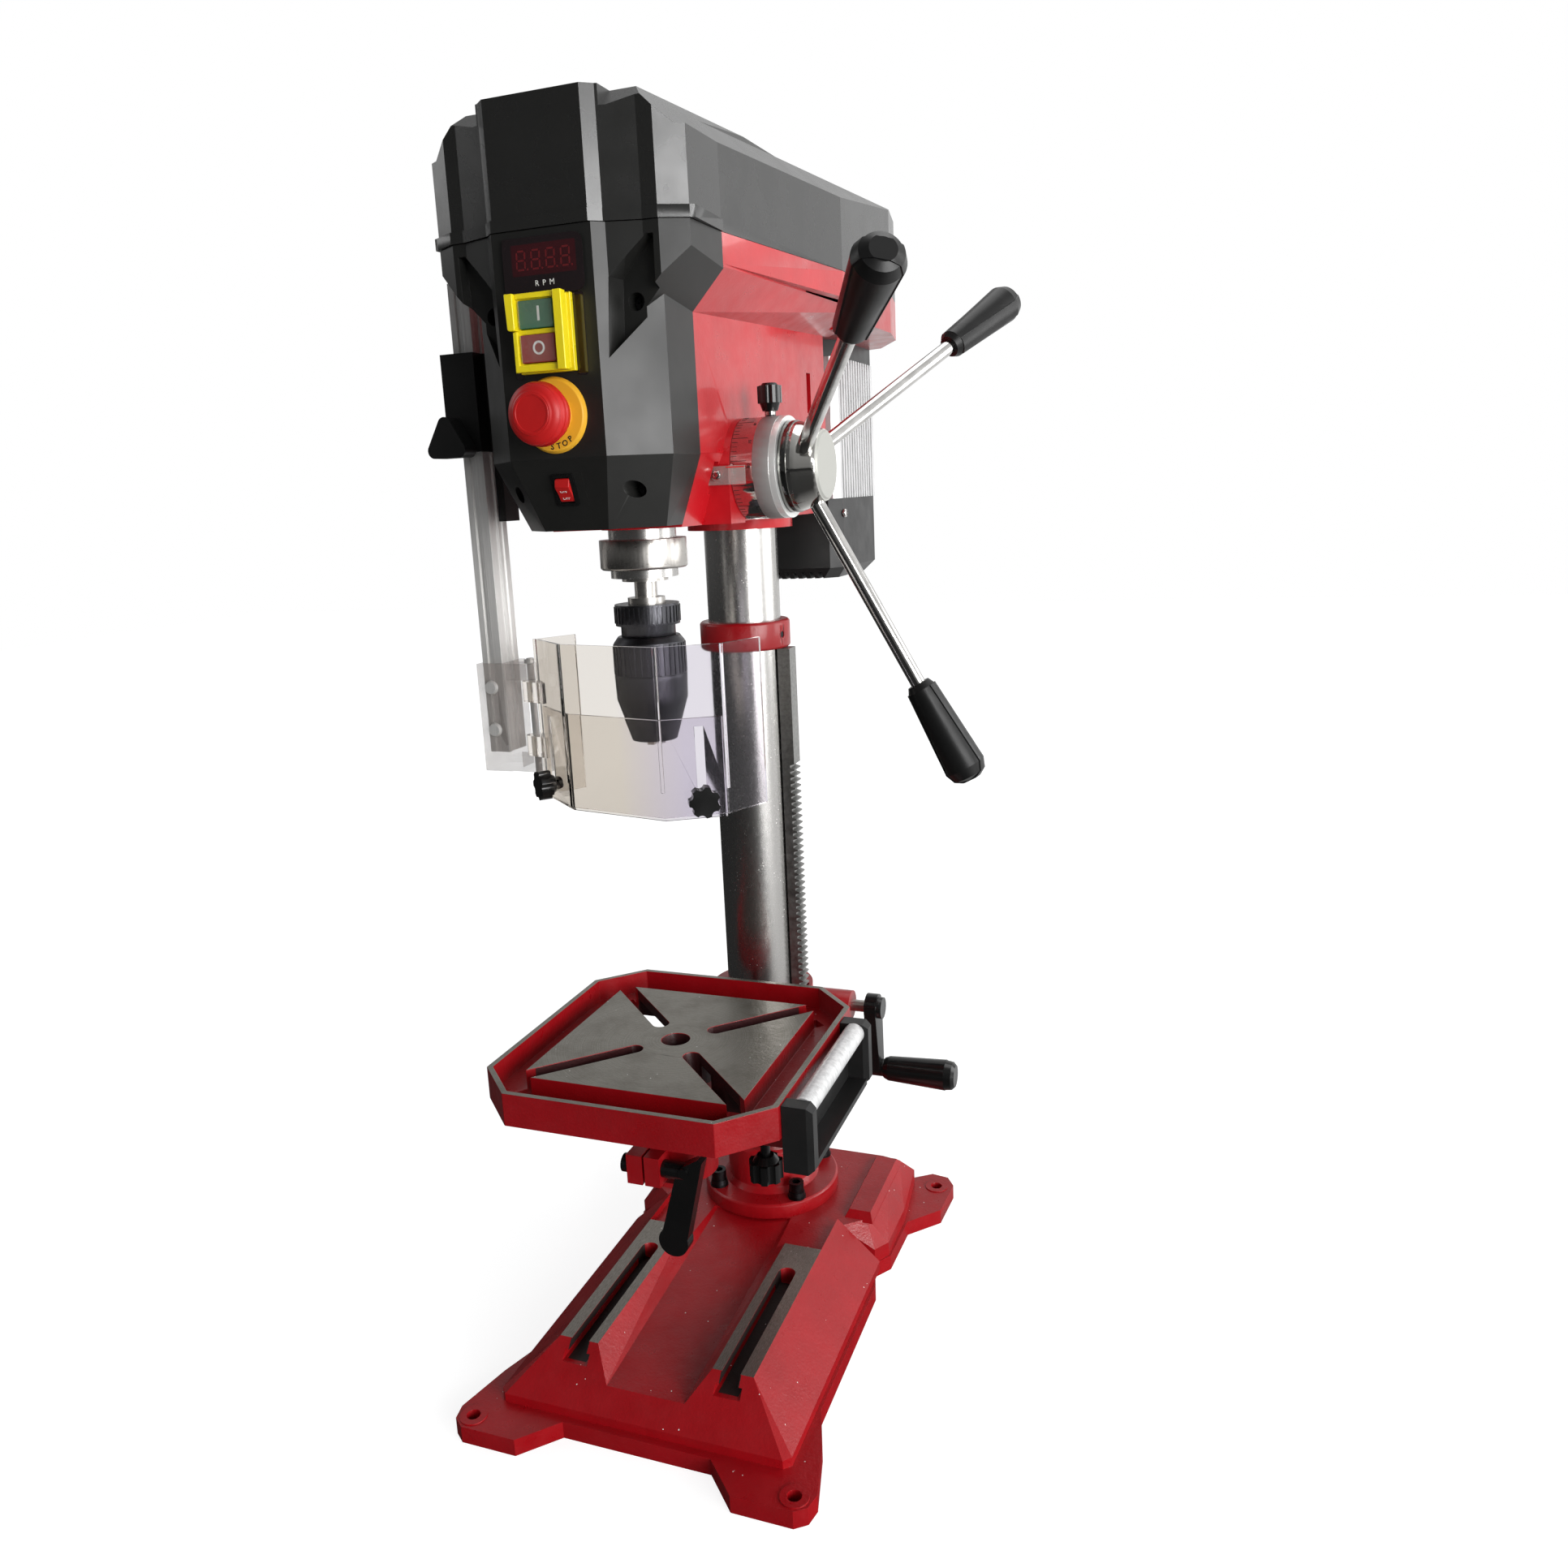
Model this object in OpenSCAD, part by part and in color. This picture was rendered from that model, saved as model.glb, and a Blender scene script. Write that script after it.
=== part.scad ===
// Bench pillar drill, built as separate pieces in one frame.
// Origin: column axis on the bench. +X right, +Y back, +Z up. Millimetres.

/* [Column and stand] */
// Column diameter
column_d = 70; // [50:1:90]
// Column tube wall
column_wall = 6; // [4:1:10]
// Height of the column's top end
column_top = 905; // [700:5:1100]
// Distance from column axis to spindle axis
throat = 213.6; // [160:0.1:260]
// Height of the base plate's ears
ear_h = 15.6; // [10:0.1:25]
// Height of the machined pads on the base
pad_z = 62; // [45:1:80]
// Height of the base where the column flange sits
seat_z = 55; // [40:1:70]
// Radius of the column flange
flange_r = 70.5; // [60:0.5:85]
// Thickness of the column flange
flange_t = 14.8; // [10:0.1:25]
// Outer radius of the flange's socket
socket_r = 45; // [42:1:60]
// Height of the socket's top edge
socket_top = 115; // [90:1:120]
// Radius of the circle of flange bolts
bolt_circle_r = 60.7; // [50:0.1:66]
// Half distance across the front foot holes
foot_front_x = 145.6; // [120:0.1:170]
// Distance of the front foot holes from the column axis
foot_front_y = 357; // [300:1:400]
// Half distance across the rear foot holes
foot_rear_x = 155.6; // [130:0.1:180]
// Distance of the rear foot holes behind the column axis
foot_rear_y = 101; // [80:1:120]
// Radius of the foot holes
foot_hole_r = 6; // [4:0.5:8]
// Width of the slots in the base
base_slot_w = 16.5; // [10:0.5:20]

/* [Rack and lift] */
// Rack teeth module
rack_module = 2; // [1:0.5:3]
// Height of the underside of the rack's collar
collar_z = 631; // [500:1:700]
// Height of the rack's collar
collar_h = 27; // [15:1:40]
// Outer radius of the rack's collar
collar_r = 43.6; // [40:0.1:55]
// Width of the rack
rack_w = 18; // [12:1:24]
// Teeth on the lift pinion
lift_teeth = 12; // [10:1:16]
// Height of the lift pinion's axis at rest
lift_z = 232; // [220:1:260]
// Radius of the worm on the crank's shaft
worm_r = 8; // [6:1:10]
// Length of the crank from its shaft to its grip
crank_len = 66; // [50:1:90]
// Length of the crank's grip
crank_grip_l = 66; // [50:1:90]

/* [Table] */
// Height of the table's rim at rest
table_z = 319.3; // [300:0.1:340]
// Half width of the table
table_hx = 129.6; // [100:0.1:150]
// Half depth of the table
table_hy = 134.4; // [100:0.1:150]
// Height of the table's rim wall
rim_h = 28.2; // [20:0.1:40]
// Thickness of the table's rim wall
rim_t = 5; // [3:0.5:8]
// Cut at the table's corners
table_corner = 38; // [20:1:50]
// Half size of the machined square
square_h = 98; // [80:1:110]
// Drop from the rim to the machined square
square_drop = 3.3; // [1:0.1:6]
// Width of the table's slots
table_slot_w = 15; // [10:1:18]
// Radius of the hole in the table's centre
table_hole_r = 12.5; // [8:0.5:16]
// Radius of the table's post
post_r = 22; // [18:0.5:26]
// Radius of the roller
roller_r = 9; // [6:0.5:12]
// Radius of the extension rods
rod_r = 6; // [4:0.5:8]

/* [Head] */
// Height of the head casting's underside
head_z = 755; // [700:1:800]
// Height of the belt cover's lower edge
lip_z = 957; // [930:1:990]
// Height of the belt cover's front bay
cover_top = 1041; // [1020:1:1060]
// Distance of the panel's face in front of the column axis
face_y = 339; // [320:1:360]
// Half width of the head's side walls
body_x = 73.2; // [66:0.2:80]
// Distance of the joint between panel and casting in front of the column axis
joint_y = 258; // [240:1:275]
// Height of the panel's knee, where the chin starts
knee_z = 808; // [790:1:830]
// Wall of the head casting
cast_wall = 8; // [5:0.5:12]
// Wall of the moulded covers
cover_wall = 3; // [2:0.5:4]
// Height of the feed shaft's axis
feed_z = 796; // [780:1:820]
// Distance of the feed shaft's axis in front of the column axis
feed_y = 178; // [170:0.5:185]

/* [Spindle] */
// Radius of the quill
quill_r = 27; // [24:0.5:30]
// Feed module of the quill's rack
feed_module = 1.5; // [1:0.25:2]
// Teeth on the feed pinion
feed_teeth = 14; // [12:1:18]
// Stroke of the quill
stroke = 80; // [50:1:90]
// Outer radius of the quill's collar
quill_collar_r = 34.8; // [30:0.1:40]
// Radius of the chuck's sleeve at its widest
chuck_r = 29.35; // [22:0.05:32]
// Height of the chuck's lower end at rest
chuck_z = 584; // [560:1:600]
// Height of the chuck's top at rest
chuck_top = 694; // [680:1:700]
// Radius of the belt pulleys
pulley_r = 44; // [30:1:50]

/* [Motor] */
// Distance of the motor's axis behind the column axis
motor_y = 168; // [150:1:200]
// Half width of the motor's body
motor_h = 70; // [60:1:80]
// Height of the motor body's lower end
motor_z0 = 768; // [740:1:800]
// Height of the motor body's upper end
motor_z1 = 905; // [880:1:920]

/* [Feed hub] */
// Radius of the graduated ring
ring_r = 39; // [32:0.5:42]
// Distance of the graduated ring's inner face from the mid plane
ring_x = 79.5; // [76:0.5:85]
// Length of the graduated ring
ring_l = 36; // [30:0.5:45]
// Radius of the hub's end
hub_end_r = 26; // [20:0.5:30]
// Length of the hub outside the ring
hub_l = 27; // [20:0.5:35]
// Reach of a spoke from the hub's axis to its grip
spoke_l = 195; // [120:1:220]
// Length of a spoke's grip
grip_l = 86; // [60:1:100]
// Outward lean of the spokes in degrees
spoke_lean = 28; // [0:1:35]

/* [Guard] */
// Distance of the guard rail from the mid plane
rail_x = 138.2; // [125:1:145]
// Distance of the guard rail in front of the column axis
rail_y = 218.5; // [200:1:260]
// Width of the guard rail
rail_w = 18.5; // [16:0.5:24]
// Thickness of the guard rail
rail_t = 27; // [20:0.5:30]
// Height of the guard rail's lower end
rail_z0 = 572; // [540:1:620]
// Height of the guard rail's upper end
rail_z1 = 950; // [900:1:955]
// Wall of the clear shield
shield_t = 2.5; // [2:0.25:4]
// Height of the shield's lower edge
shield_z0 = 540; // [520:1:560]
// Height of the shield's upper edge
shield_z1 = 670; // [650:1:690]

/* [Build] */
// Name of the piece to draw, or all

/* [Hidden] */
$fn = 64;
fit = 0.05;
gap = 0.3;
eps = 0.01;
column_r = column_d / 2;
spindle_y = -throat;
panel_back = -joint_y;
chin_back = 20;
flange_top = seat_z + flange_t;

red = [0.72, 0.06, 0.08];
black = [0.08, 0.08, 0.09];
steel = [0.70, 0.70, 0.72];
iron = [0.42, 0.43, 0.42];
silver = [0.82, 0.82, 0.84];
clear = [0.82, 0.80, 0.86, 0.35];
yellow = [0.95, 0.83, 0.05];

// Helpers

// A half outline drawn for +X and its mirror image, as one polygon
function both(half) = concat(half, [for (i = [len(half) - 1 : -1 : 0]) [-half[i][0], half[i][1]]]);

module slab(z0, z1, half) {
    translate([0, 0, z0]) linear_extrude(z1 - z0) polygon(both(half));
}

// A cylinder along X from x0 to x1
module rod_x(x0, x1, r, r2 = -1) {
    translate([x0, 0, 0]) rotate([0, 90, 0])
        cylinder(h = x1 - x0, r1 = r, r2 = r2 < 0 ? r : r2);
}

// A cylinder along Y from y0 to y1
module rod_y(y0, y1, r, r2 = -1) {
    translate([0, y0, 0]) rotate([-90, 0, 0])
        cylinder(h = y1 - y0, r1 = r, r2 = r2 < 0 ? r : r2);
}

module hex_head(r, h) {
    difference() {
        cylinder(h = h, r = r);
        translate([0, 0, h * 0.45]) cylinder(h = h, r = r * 0.54, $fn = 6);
    }
}

// Toothed wheel with straight flanks and some backlash
module gear2d(m, n) {
    rp = m * n / 2;
    pitch = 360 / n;
    root_a = pitch * 0.31;
    mid_a = pitch * 0.2;
    tip_a = pitch * 0.085;
    polygon([for (i = [0 : n - 1]) for (k = [[-root_a, -1.25], [-mid_a, 0], [-tip_a, 1],
        [tip_a, 1], [mid_a, 0], [root_a, -1.25]])
        (rp + k[1] * m) * [cos(i * pitch + k[0]), sin(i * pitch + k[0])]]);
}

// Rack profile: teeth point to +X, tooth gaps centred at height 0
module rack2d(m, n_low, n_high, depth) {
    p = PI * m;
    polygon(concat([[-depth, (n_low - 0.5) * p]],
        [for (i = [n_low : n_high - 1]) for (k = [[-1.25, -0.19], [-1.25, 0.19],
            [1, 0.42], [1, 0.58]]) [k[0] * m, (i + k[1]) * p]],
        [[-1.25 * m, (n_high - 0.19) * p], [-depth, (n_high - 0.19) * p]]));
}

module lobed(r, n, h) {
    difference() {
        cylinder(h = h, r = r);
        for (i = [0 : n - 1]) rotate(i * 360 / n)
            translate([r * 1.12, 0, -1]) cylinder(h = h + 2, r = r * 0.3, $fn = 24);
    }
}

// Base and column

base_half = [[68, -341], [97, -371.5], [149, -371.5], [159, -364], [162, -350], [150, -300],
    [137, -262], [137.2, -88], [127.3, -53.4], [139, -36.2], [141.2, 25.9], [169.9, 57],
    [173, 108], [164, 122], [146, 125], [128, 112], [110, 118]];

module base_slot(side) {
    translate([side * 71, 0, 0]) {
        translate([-base_slot_w / 2, -360, pad_z - 14]) cube([base_slot_w, 196 + 8, 20]);
        translate([0, -156, pad_z - 14]) cylinder(h = 20, d = base_slot_w);
        translate([-12, -360, pad_z - 14]) cube([24, 196, 7]);
    }
}

module base() color(red) {
    difference() {
        union() {
            slab(0, ear_h, base_half);
            hull() {
                slab(ear_h - 1, ear_h + 8, [[128, -334], [134, -328], [134, -60]]);
                slab(pad_z - 1, pad_z, [[91, -296], [91, -58]]);
            }
            hull() {
                slab(ear_h - 1, 30, [[127, -52], [137, -36], [138, 26], [130, 104], [104, 114]]);
                slab(seat_z - 1, seat_z, [[92, -60], [116, -40], [122, 20], [120, 78], [100, 82]]);
            }
            for (s = [-1, 1]) hull() {
                translate([s * 108 - 15, -44, seat_z - 2]) cube([30, 120, 1]);
                translate([s * 109 - 12, -36, seat_z + 5]) cube([22, 106, 1]);
            }
            for (s = [-1, 1]) {
                translate([s * foot_front_x, -foot_front_y, 0]) cylinder(h = ear_h + 1, r = 12);
                translate([s * foot_rear_x, foot_rear_y, 0]) cylinder(h = ear_h + 1, r = 12);
            }
        }
        // Valley between the pads, open to the front
        hull() {
            slab(seat_z - 2, seat_z - 1, [[39, -283], [39, -60]]);
            slab(pad_z + 5, pad_z + 6, [[58, -300], [58, -60]]);
            slab(40, 41, [[36, -345], [36, -325]]);
            slab(pad_z + 5, pad_z + 6, [[42, -345], [42, -325]]);
        }
        // Level seat round the column and behind the pads
        translate([-91, -112, seat_z]) cube([182, 200, 20]);
        base_slot(-1);
        base_slot(1);
        for (s = [-1, 1]) {
            translate([s * foot_front_x, -foot_front_y, -1]) cylinder(h = 40, r = foot_hole_r);
            translate([s * foot_rear_x, foot_rear_y, -1]) cylinder(h = 40, r = foot_hole_r);
        }
        // Hollow underside round the column's boss
        difference() {
            hull() {
                slab(-1, 6, [[122, -322], [122, 98]]);
                slab(37, 38, [[84, -288], [84, 68]]);
            }
            translate([0, 0, -1]) cylinder(h = 60, r = flange_r);
        }
        for (a = [45 : 90 : 315]) rotate(a) translate([bolt_circle_r, 0, 20])
            cylinder(h = 60, r = 5);
    }
}

module column_flange() color(red) {
    difference() {
        union() {
            translate([0, 0, seat_z]) cylinder(h = flange_t - 2, r = flange_r);
            translate([0, 0, flange_top - 2]) cylinder(h = 2, r1 = flange_r, r2 = flange_r - 2);
            translate([0, 0, seat_z]) cylinder(h = socket_top - seat_z - 3, r = socket_r);
            translate([0, 0, socket_top - 3]) cylinder(h = 3, r1 = socket_r, r2 = socket_r - 3);
            translate([0, 0, flange_top]) cylinder(h = 5, r1 = socket_r + 5, r2 = socket_r);
        }
        translate([0, 0, seat_z + 3]) cylinder(h = 100, r = column_r);
        for (a = [45 : 90 : 315]) rotate(a) translate([bolt_circle_r, 0, seat_z - 1])
            cylinder(h = 40, r = 5.5);
    }
}

module flange_bolts() color(black) {
    for (a = [45 : 90 : 315]) rotate(a) translate([bolt_circle_r, 0, flange_top]) {
        difference() {
            union() {
                cylinder(h = 2, r = 9.4);
                translate([0, 0, 2]) cylinder(h = 5, r1 = 8.8, r2 = 8.2);
                translate([0, 0, 7]) cylinder(h = 10, r = 7.6);
            }
            translate([0, 0, 11]) cylinder(h = 10, r = 4.6, $fn = 6);
        }
        translate([0, 0, -45]) cylinder(h = 45, r = 5);
    }
}

module column() color(steel) {
    difference() {
        translate([0, 0, seat_z + 3]) cylinder(h = column_top - seat_z - 3, r = column_r, $fn = 96);
        translate([0, 0, seat_z]) cylinder(h = column_top, r = column_r - column_wall, $fn = 96);
    }
}

// Rack and collar

rack_pitch_x = column_r + 11;
rack_top = collar_z - gap;

module rack() color(steel) {
    intersection() {
        union() {
            translate([0, rack_w / 2, lift_z]) rotate([90, 0, 0]) linear_extrude(rack_w)
                translate([rack_pitch_x, 0]) rack2d(rack_module, -18, 46, 10.7);
            translate([column_r + gap, -rack_w / 2, lift_z + 46 * PI * rack_module - 3])
                cube([12.5, rack_w, rack_top - lift_z - 46 * PI * rack_module + 3]);
        }
        translate([0, -rack_w / 2, socket_top + gap]) cube([100, rack_w, rack_top - socket_top - gap]);
    }
}

module rack_collar() color(red) {
    difference() {
        union() {
            translate([0, 0, collar_z + 2]) cylinder(h = collar_h - 4, r = collar_r);
            translate([0, 0, collar_z]) cylinder(h = 2, r1 = collar_r - 2, r2 = collar_r);
            translate([0, 0, collar_z + collar_h - 2]) cylinder(h = 2, r1 = collar_r, r2 = collar_r - 2);
        }
        translate([0, 0, collar_z - 10]) cylinder(h = collar_h + 20, r = column_r);
        rotate(-14) translate([0, 0, collar_z + collar_h / 2]) rod_x(30, 60, 3);
    }
}

// Table bracket and lift

bracket_z0 = 185;
bracket_z1 = 283;
bracket_r = 52;
pinion_x = rack_pitch_x + rack_module * lift_teeth / 2;
wheel_y = 26;
worm_z = lift_z + 24;
tilt_y = -62;
tilt_z = 235;
lock_z = 234;

module table_bracket() color(red) {
    difference() {
        union() {
            translate([0, 0, bracket_z0]) cylinder(h = bracket_z1 - bracket_z0, r = bracket_r);
            translate([0, 0, tilt_z]) rod_y(tilt_y, -20, 38);
            // Gear housing beside the rack
            translate([pinion_x, 0, lift_z]) rod_y(-17, 42, 22);
            translate([0, wheel_y, worm_z]) rod_x(36, 88, 15);
            translate([30, -17, lift_z - 22]) cube([pinion_x - 30, 59, 44]);
            // Split clamp at the back
            translate([-22, 40, lock_z - 20]) cube([44, 40, 40]);
        }
        translate([0, 0, bracket_z0 - 1]) cylinder(h = 120, r = column_r + fit, $fn = 96);
        translate([20, -rack_w / 2 - gap, bracket_z0 - 1])
            cube([rack_pitch_x + rack_module + gap - 20, rack_w + 2 * gap, 120]);
        translate([-1.5, 30, bracket_z0 - 1]) cube([3, 60, 120]);
        translate([0, 68, lock_z]) rod_x(-40, 40, 6 + fit);
        translate([pinion_x, 0, lift_z]) {
            rod_y(-9.6, 9.6, rack_module * (lift_teeth / 2 + 1) + 0.6);
            rod_y(18.4, 33.6, 16.4);
            rod_y(-14, 50, 6 + fit);
        }
        translate([0, wheel_y, worm_z]) {
            rod_x(40, 120, 6 + fit);
            rod_x(42, 76, worm_r + 0.6);
        }
    }
    // Pin that the arm tilts on
    translate([0, 0, tilt_z]) rod_y(tilt_y - 18 - gap, tilt_y, 8);
    translate([0, tilt_y - 18 - gap, tilt_z]) rotate([90, 0, 0]) cylinder(h = 9, r = 12, $fn = 6);
}

module lift_pinion() color(steel) {
    translate([pinion_x, 0, lift_z]) {
        rotate([90, 0, 0]) translate([0, 0, -9]) linear_extrude(18)
            rotate(180) gear2d(rack_module, lift_teeth);
        rod_y(-13.5, 42, 6);
        translate([0, 33, 0]) rotate([90, 0, 0]) linear_extrude(14) gear2d(1.4, 20);
    }
}

module crank_shaft() color(steel) {
    translate([0, wheel_y, worm_z]) {
        rod_x(41, 118, 6);
        rod_x(43, 75, worm_r);
    }
}

crank_x = 104;
crank_pin_z = worm_z - crank_len;

module crank_arm() color(black) {
    difference() {
        union() {
            hull() {
                translate([0, wheel_y, worm_z]) rod_x(crank_x, crank_x + 12, 14);
                translate([0, wheel_y, crank_pin_z]) rod_x(crank_x + 4, crank_x + 14, 9);
            }
            translate([0, wheel_y, worm_z]) rod_x(crank_x, crank_x + 17, 11);
        }
        translate([0, wheel_y, worm_z]) rod_x(crank_x - 1, 118, 6);
    }
    translate([0, wheel_y, crank_pin_z]) {
        rod_x(crank_x + 14, crank_x + 14 + crank_grip_l + 1, 4);
        rod_x(crank_x + 14, crank_x + 17, 9);
    }
}

module crank_grip() color(black) {
    translate([0, wheel_y, crank_pin_z]) difference() {
        union() {
            rod_x(crank_x + 17.3, crank_x + 22, 10.5, 12.5);
            rod_x(crank_x + 22, crank_x + 15 + crank_grip_l, 12.5, 15.5);
            rod_x(crank_x + 15 + crank_grip_l, crank_x + 22 + crank_grip_l, 15, 14);
            rod_x(crank_x + 22 + crank_grip_l, crank_x + 25 + crank_grip_l, 14, 11);
        }
        rod_x(crank_x, crank_x + 16 + crank_grip_l, 4 + fit);
    }
}

module column_lock_lever() color(black) {
    translate([0, 68, lock_z]) {
        rod_x(-34, 30, 6);
        rod_x(-36, -22.3, 11);
        hull() {
            rod_x(-42, -30, 10);
            translate([-8, 8, -80]) rod_x(-40, -30, 7);
        }
        rod_x(22.3, 30, 10);
    }
}

// Arm and table

arm_z0 = 195;
arm_z1 = 275;
ear_x = -14.5;
clamp_y = spindle_y - 42;
clamp_z = 216;
table_floor = table_z - rim_h;

module table_arm() color(red) {
    difference() {
        union() {
            translate([0, 0, tilt_z]) rod_y(tilt_y - 18, tilt_y - gap, 38);
            translate([0, spindle_y, arm_z0]) cylinder(h = arm_z1 - arm_z0, r = 31);
            hull() {
                translate([-20, tilt_y - 18, 205]) cube([40, 1, 54]);
                translate([-22, spindle_y + 22, 200]) cube([44, 1, 58]);
            }
            // Split clamp ears
            translate([ear_x - 15.5, spindle_y - 51, clamp_z - 14]) cube([31, 42, 27]);
        }
        translate([0, spindle_y, arm_z0 - 1]) cylinder(h = 100, r = post_r + fit);
        translate([ear_x - 1.2, spindle_y - 60, arm_z0 - 1]) cube([2.4, 52, 100]);
        translate([0, clamp_y, clamp_z]) rod_x(ear_x - 30, ear_x + 40, 4 + fit);
        translate([0, 0, tilt_z]) rod_y(tilt_y - 60, tilt_y + 5, 8 + fit);
        // Pocket for the tilt pin's nut, open below
        translate([-15, tilt_y - 58, arm_z0 - 10]) cube([30, 40, tilt_z + 25 - arm_z0]);
    }
}

blade_t = 12;

module table_clamp_lever() color(black) {
    translate([0, clamp_y, clamp_z]) {
        rod_x(ear_x - 22, ear_x + 22, 4);
        rod_x(ear_x - 22, ear_x - 15.8, 8);
        rod_x(ear_x + 15.8, 22, 7.5);
        // Broad flat blade, hanging to the left
        translate([0, blade_t / 2, 0]) rotate([90, 0, 0]) linear_extrude(blade_t) {
            polygon([[16, 4], [36, 16], [39.5, 13], [21.7, -62], [8.4, -66], [-4.9, -69.5]]);
            translate([8.4, -65.8]) circle(13.75);
        }
        translate([22, -blade_t / 2 - 2, 2]) rod_y(0, 3, 4.5);
    }
}

function octagon(hx, hy, c) = [[hx - c, -hy], [hx, -hy + c], [hx, hy - c], [hx - c, hy]];

rod_ys = [-262, -165];
rod_z = 272;
guide_z0 = 262.3;

module table() color(red) {
    t0 = table_floor + 8;
    under = table_z - square_drop - 10;
    difference() {
        union() {
            translate([0, spindle_y, 0]) {
                difference() {
                    slab(table_floor, table_z, octagon(table_hx, table_hy, table_corner));
                    // Ribbed underside of the square
                    difference() {
                        slab(0, under, [[square_h - 8, 8 - square_h], [square_h - 8, square_h - 8]]);
                        for (a = [0, 90]) rotate(a) cube([300, 8, 1000], center = true);
                    }
                }
                translate([0, 0, arm_z1 + gap]) cylinder(h = under - arm_z1, r = 40);
                translate([0, 0, arm_z0 + 4]) cylinder(h = under - arm_z0 - 4, r = post_r);
            }
            for (y = rod_ys) translate([36, y - 11, guide_z0])
                cube([82, 22, under + 1 - guide_z0]);
        }
        translate([0, spindle_y, 0]) difference() {
            slab(t0, table_z + 1, octagon(table_hx - rim_t, table_hy - rim_t, table_corner - 3));
            slab(0, table_z - square_drop, [[square_h, -square_h], [square_h, square_h]]);
        }
        for (a = [45 : 90 : 315]) translate([0, spindle_y, table_floor - 1]) rotate(a) {
            translate([38, -table_slot_w / 2, 0]) cube([103, table_slot_w, 60]);
            translate([38, 0, 0]) cylinder(h = 60, r = table_slot_w / 2);
        }
        translate([0, spindle_y, arm_z0]) cylinder(h = 200, r = table_hole_r);
        for (y = rod_ys) translate([0, y, rod_z]) rod_x(30, 125, rod_r + fit);
        translate([lock_knob_x, rod_ys[0], 240]) cylinder(h = 30, r = 4 + fit);
    }
}

roll_x = table_hx + 13.4;
roll_z = table_z - 9.3;
frame_x0 = table_hx + gap + 0.1;
rod_end = table_hx + 4.4;
lock_knob_x = table_hx - 31.6;

module roller_frame() color(black) {
    difference() {
        union() {
            for (y = [[-306, -292.3], [-149.7, -136]]) hull() {
                translate([frame_x0, y[0], 262]) cube([20, y[1] - y[0], 56]);
                translate([frame_x0, y[0] + 2, 266]) cube([25, y[1] - y[0] - 4, 48]);
            }
            translate([frame_x0 + 1, -293, 262]) cube([5, 144, 22]);
            translate([frame_x0 + 1, -293, 262]) cube([22, 144, 5]);
        }
        translate([roll_x, 0, roll_z]) {
            rod_y(-302, -290, 4 + fit);
            rod_y(-152, -140, 4 + fit);
        }
        for (y = rod_ys) translate([0, y, rod_z]) rod_x(frame_x0 - 10, rod_end, rod_r);
    }
}

module extension_rods() color(steel) {
    for (y = rod_ys) translate([0, y, rod_z]) rod_x(42, rod_end, rod_r);
}

module roller() color(silver) {
    translate([roll_x, 0, roll_z]) {
        rod_y(-292, -150, roller_r);
        rod_y(-301, -141, 4);
    }
}

module roller_lock_knob() color(black) {
    translate([lock_knob_x, rod_ys[0], 0]) {
        translate([0, 0, 227]) lobed(14, 7, 16);
        translate([0, 0, 243]) cylinder(h = 5, r1 = 11, r2 = 7);
        translate([0, 0, 243]) cylinder(h = 22.5, r = 4);
    }
}

// Head

// Outline of the head seen from above, shared by the casting and the belt cover
head_half = [[98.5, panel_back], [124.6, -51.5], [127, 98], [116, 160], [84, 222], [44, 238]];
block_half = [[36.5, -face_y], [44.2, -face_y + 6.7], [68.5, -323.4], [79.6, -322.7],
    [97.7, -311.5], [98.5, panel_back]];
lower_half = [[38, -face_y], [body_x - 0.4, -305], [body_x, panel_back]];

module grown(half, d) {
    polygon(both([for (p = half) [p[0] - d, p[1] + (p[1] < 0 ? d : -d)]]));
}

// Cross section of the head at distance y, from points given for +X
module section(y, half) {
    translate([0, y, 0]) rotate([90, 0, 0]) linear_extrude(eps) polygon(both(half));
}

hinge_y = 248;
body_end = 60;
tray_z = 921;

module head_outer() {
    // Tray under the belt cover, deeper behind the body
    translate([0, 0, 936]) linear_extrude(lip_z - 936) polygon(both(head_half));
    intersection() {
        translate([0, 0, tray_z]) linear_extrude(lip_z - tray_z) polygon(both(head_half));
        translate([-200, body_end - 30, 900]) cube([400, 300, 100]);
    }
    // Side walls, tapered below the knee
    intersection() {
        translate([0, 0, head_z]) linear_extrude(930 - head_z) polygon(both([[body_x, panel_back],
            [body_x + 2.5, 42], [body_x - 8, body_end]]));
        rotate([90, 0, 0]) translate([0, 0, -400]) linear_extrude(800)
            polygon(both([[body_x - 18.6, head_z], [body_x, knee_z], [100, knee_z], [100, 940]]));
    }
    // Sloping shoulder between the side walls and the tray
    hull() {
        section(panel_back + eps, [[body_x, 906], [98.5, 934], [98.5, 940]]);
        section(body_end, [[body_x + 2.5, 918], [120, 936], [120, 940]]);
    }
    // Boss that holds the column
    translate([0, 0, 745]) cylinder(h = 170, r = 50);
    // Boss that guides the quill
    translate([0, spindle_y, 754]) cylinder(h = 12, r = 32);
    // Feed shaft bosses, the right one with a flat front for the pointer
    translate([0, -feed_y, feed_z]) {
        rod_x(40, ring_x - 0.5, ring_r);
        translate([40, -41, head_z - feed_z]) cube([ring_x - 40.5, 30, 45]);
        rod_x(-ring_x + 0.5, -40, 34);
    }
}

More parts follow.
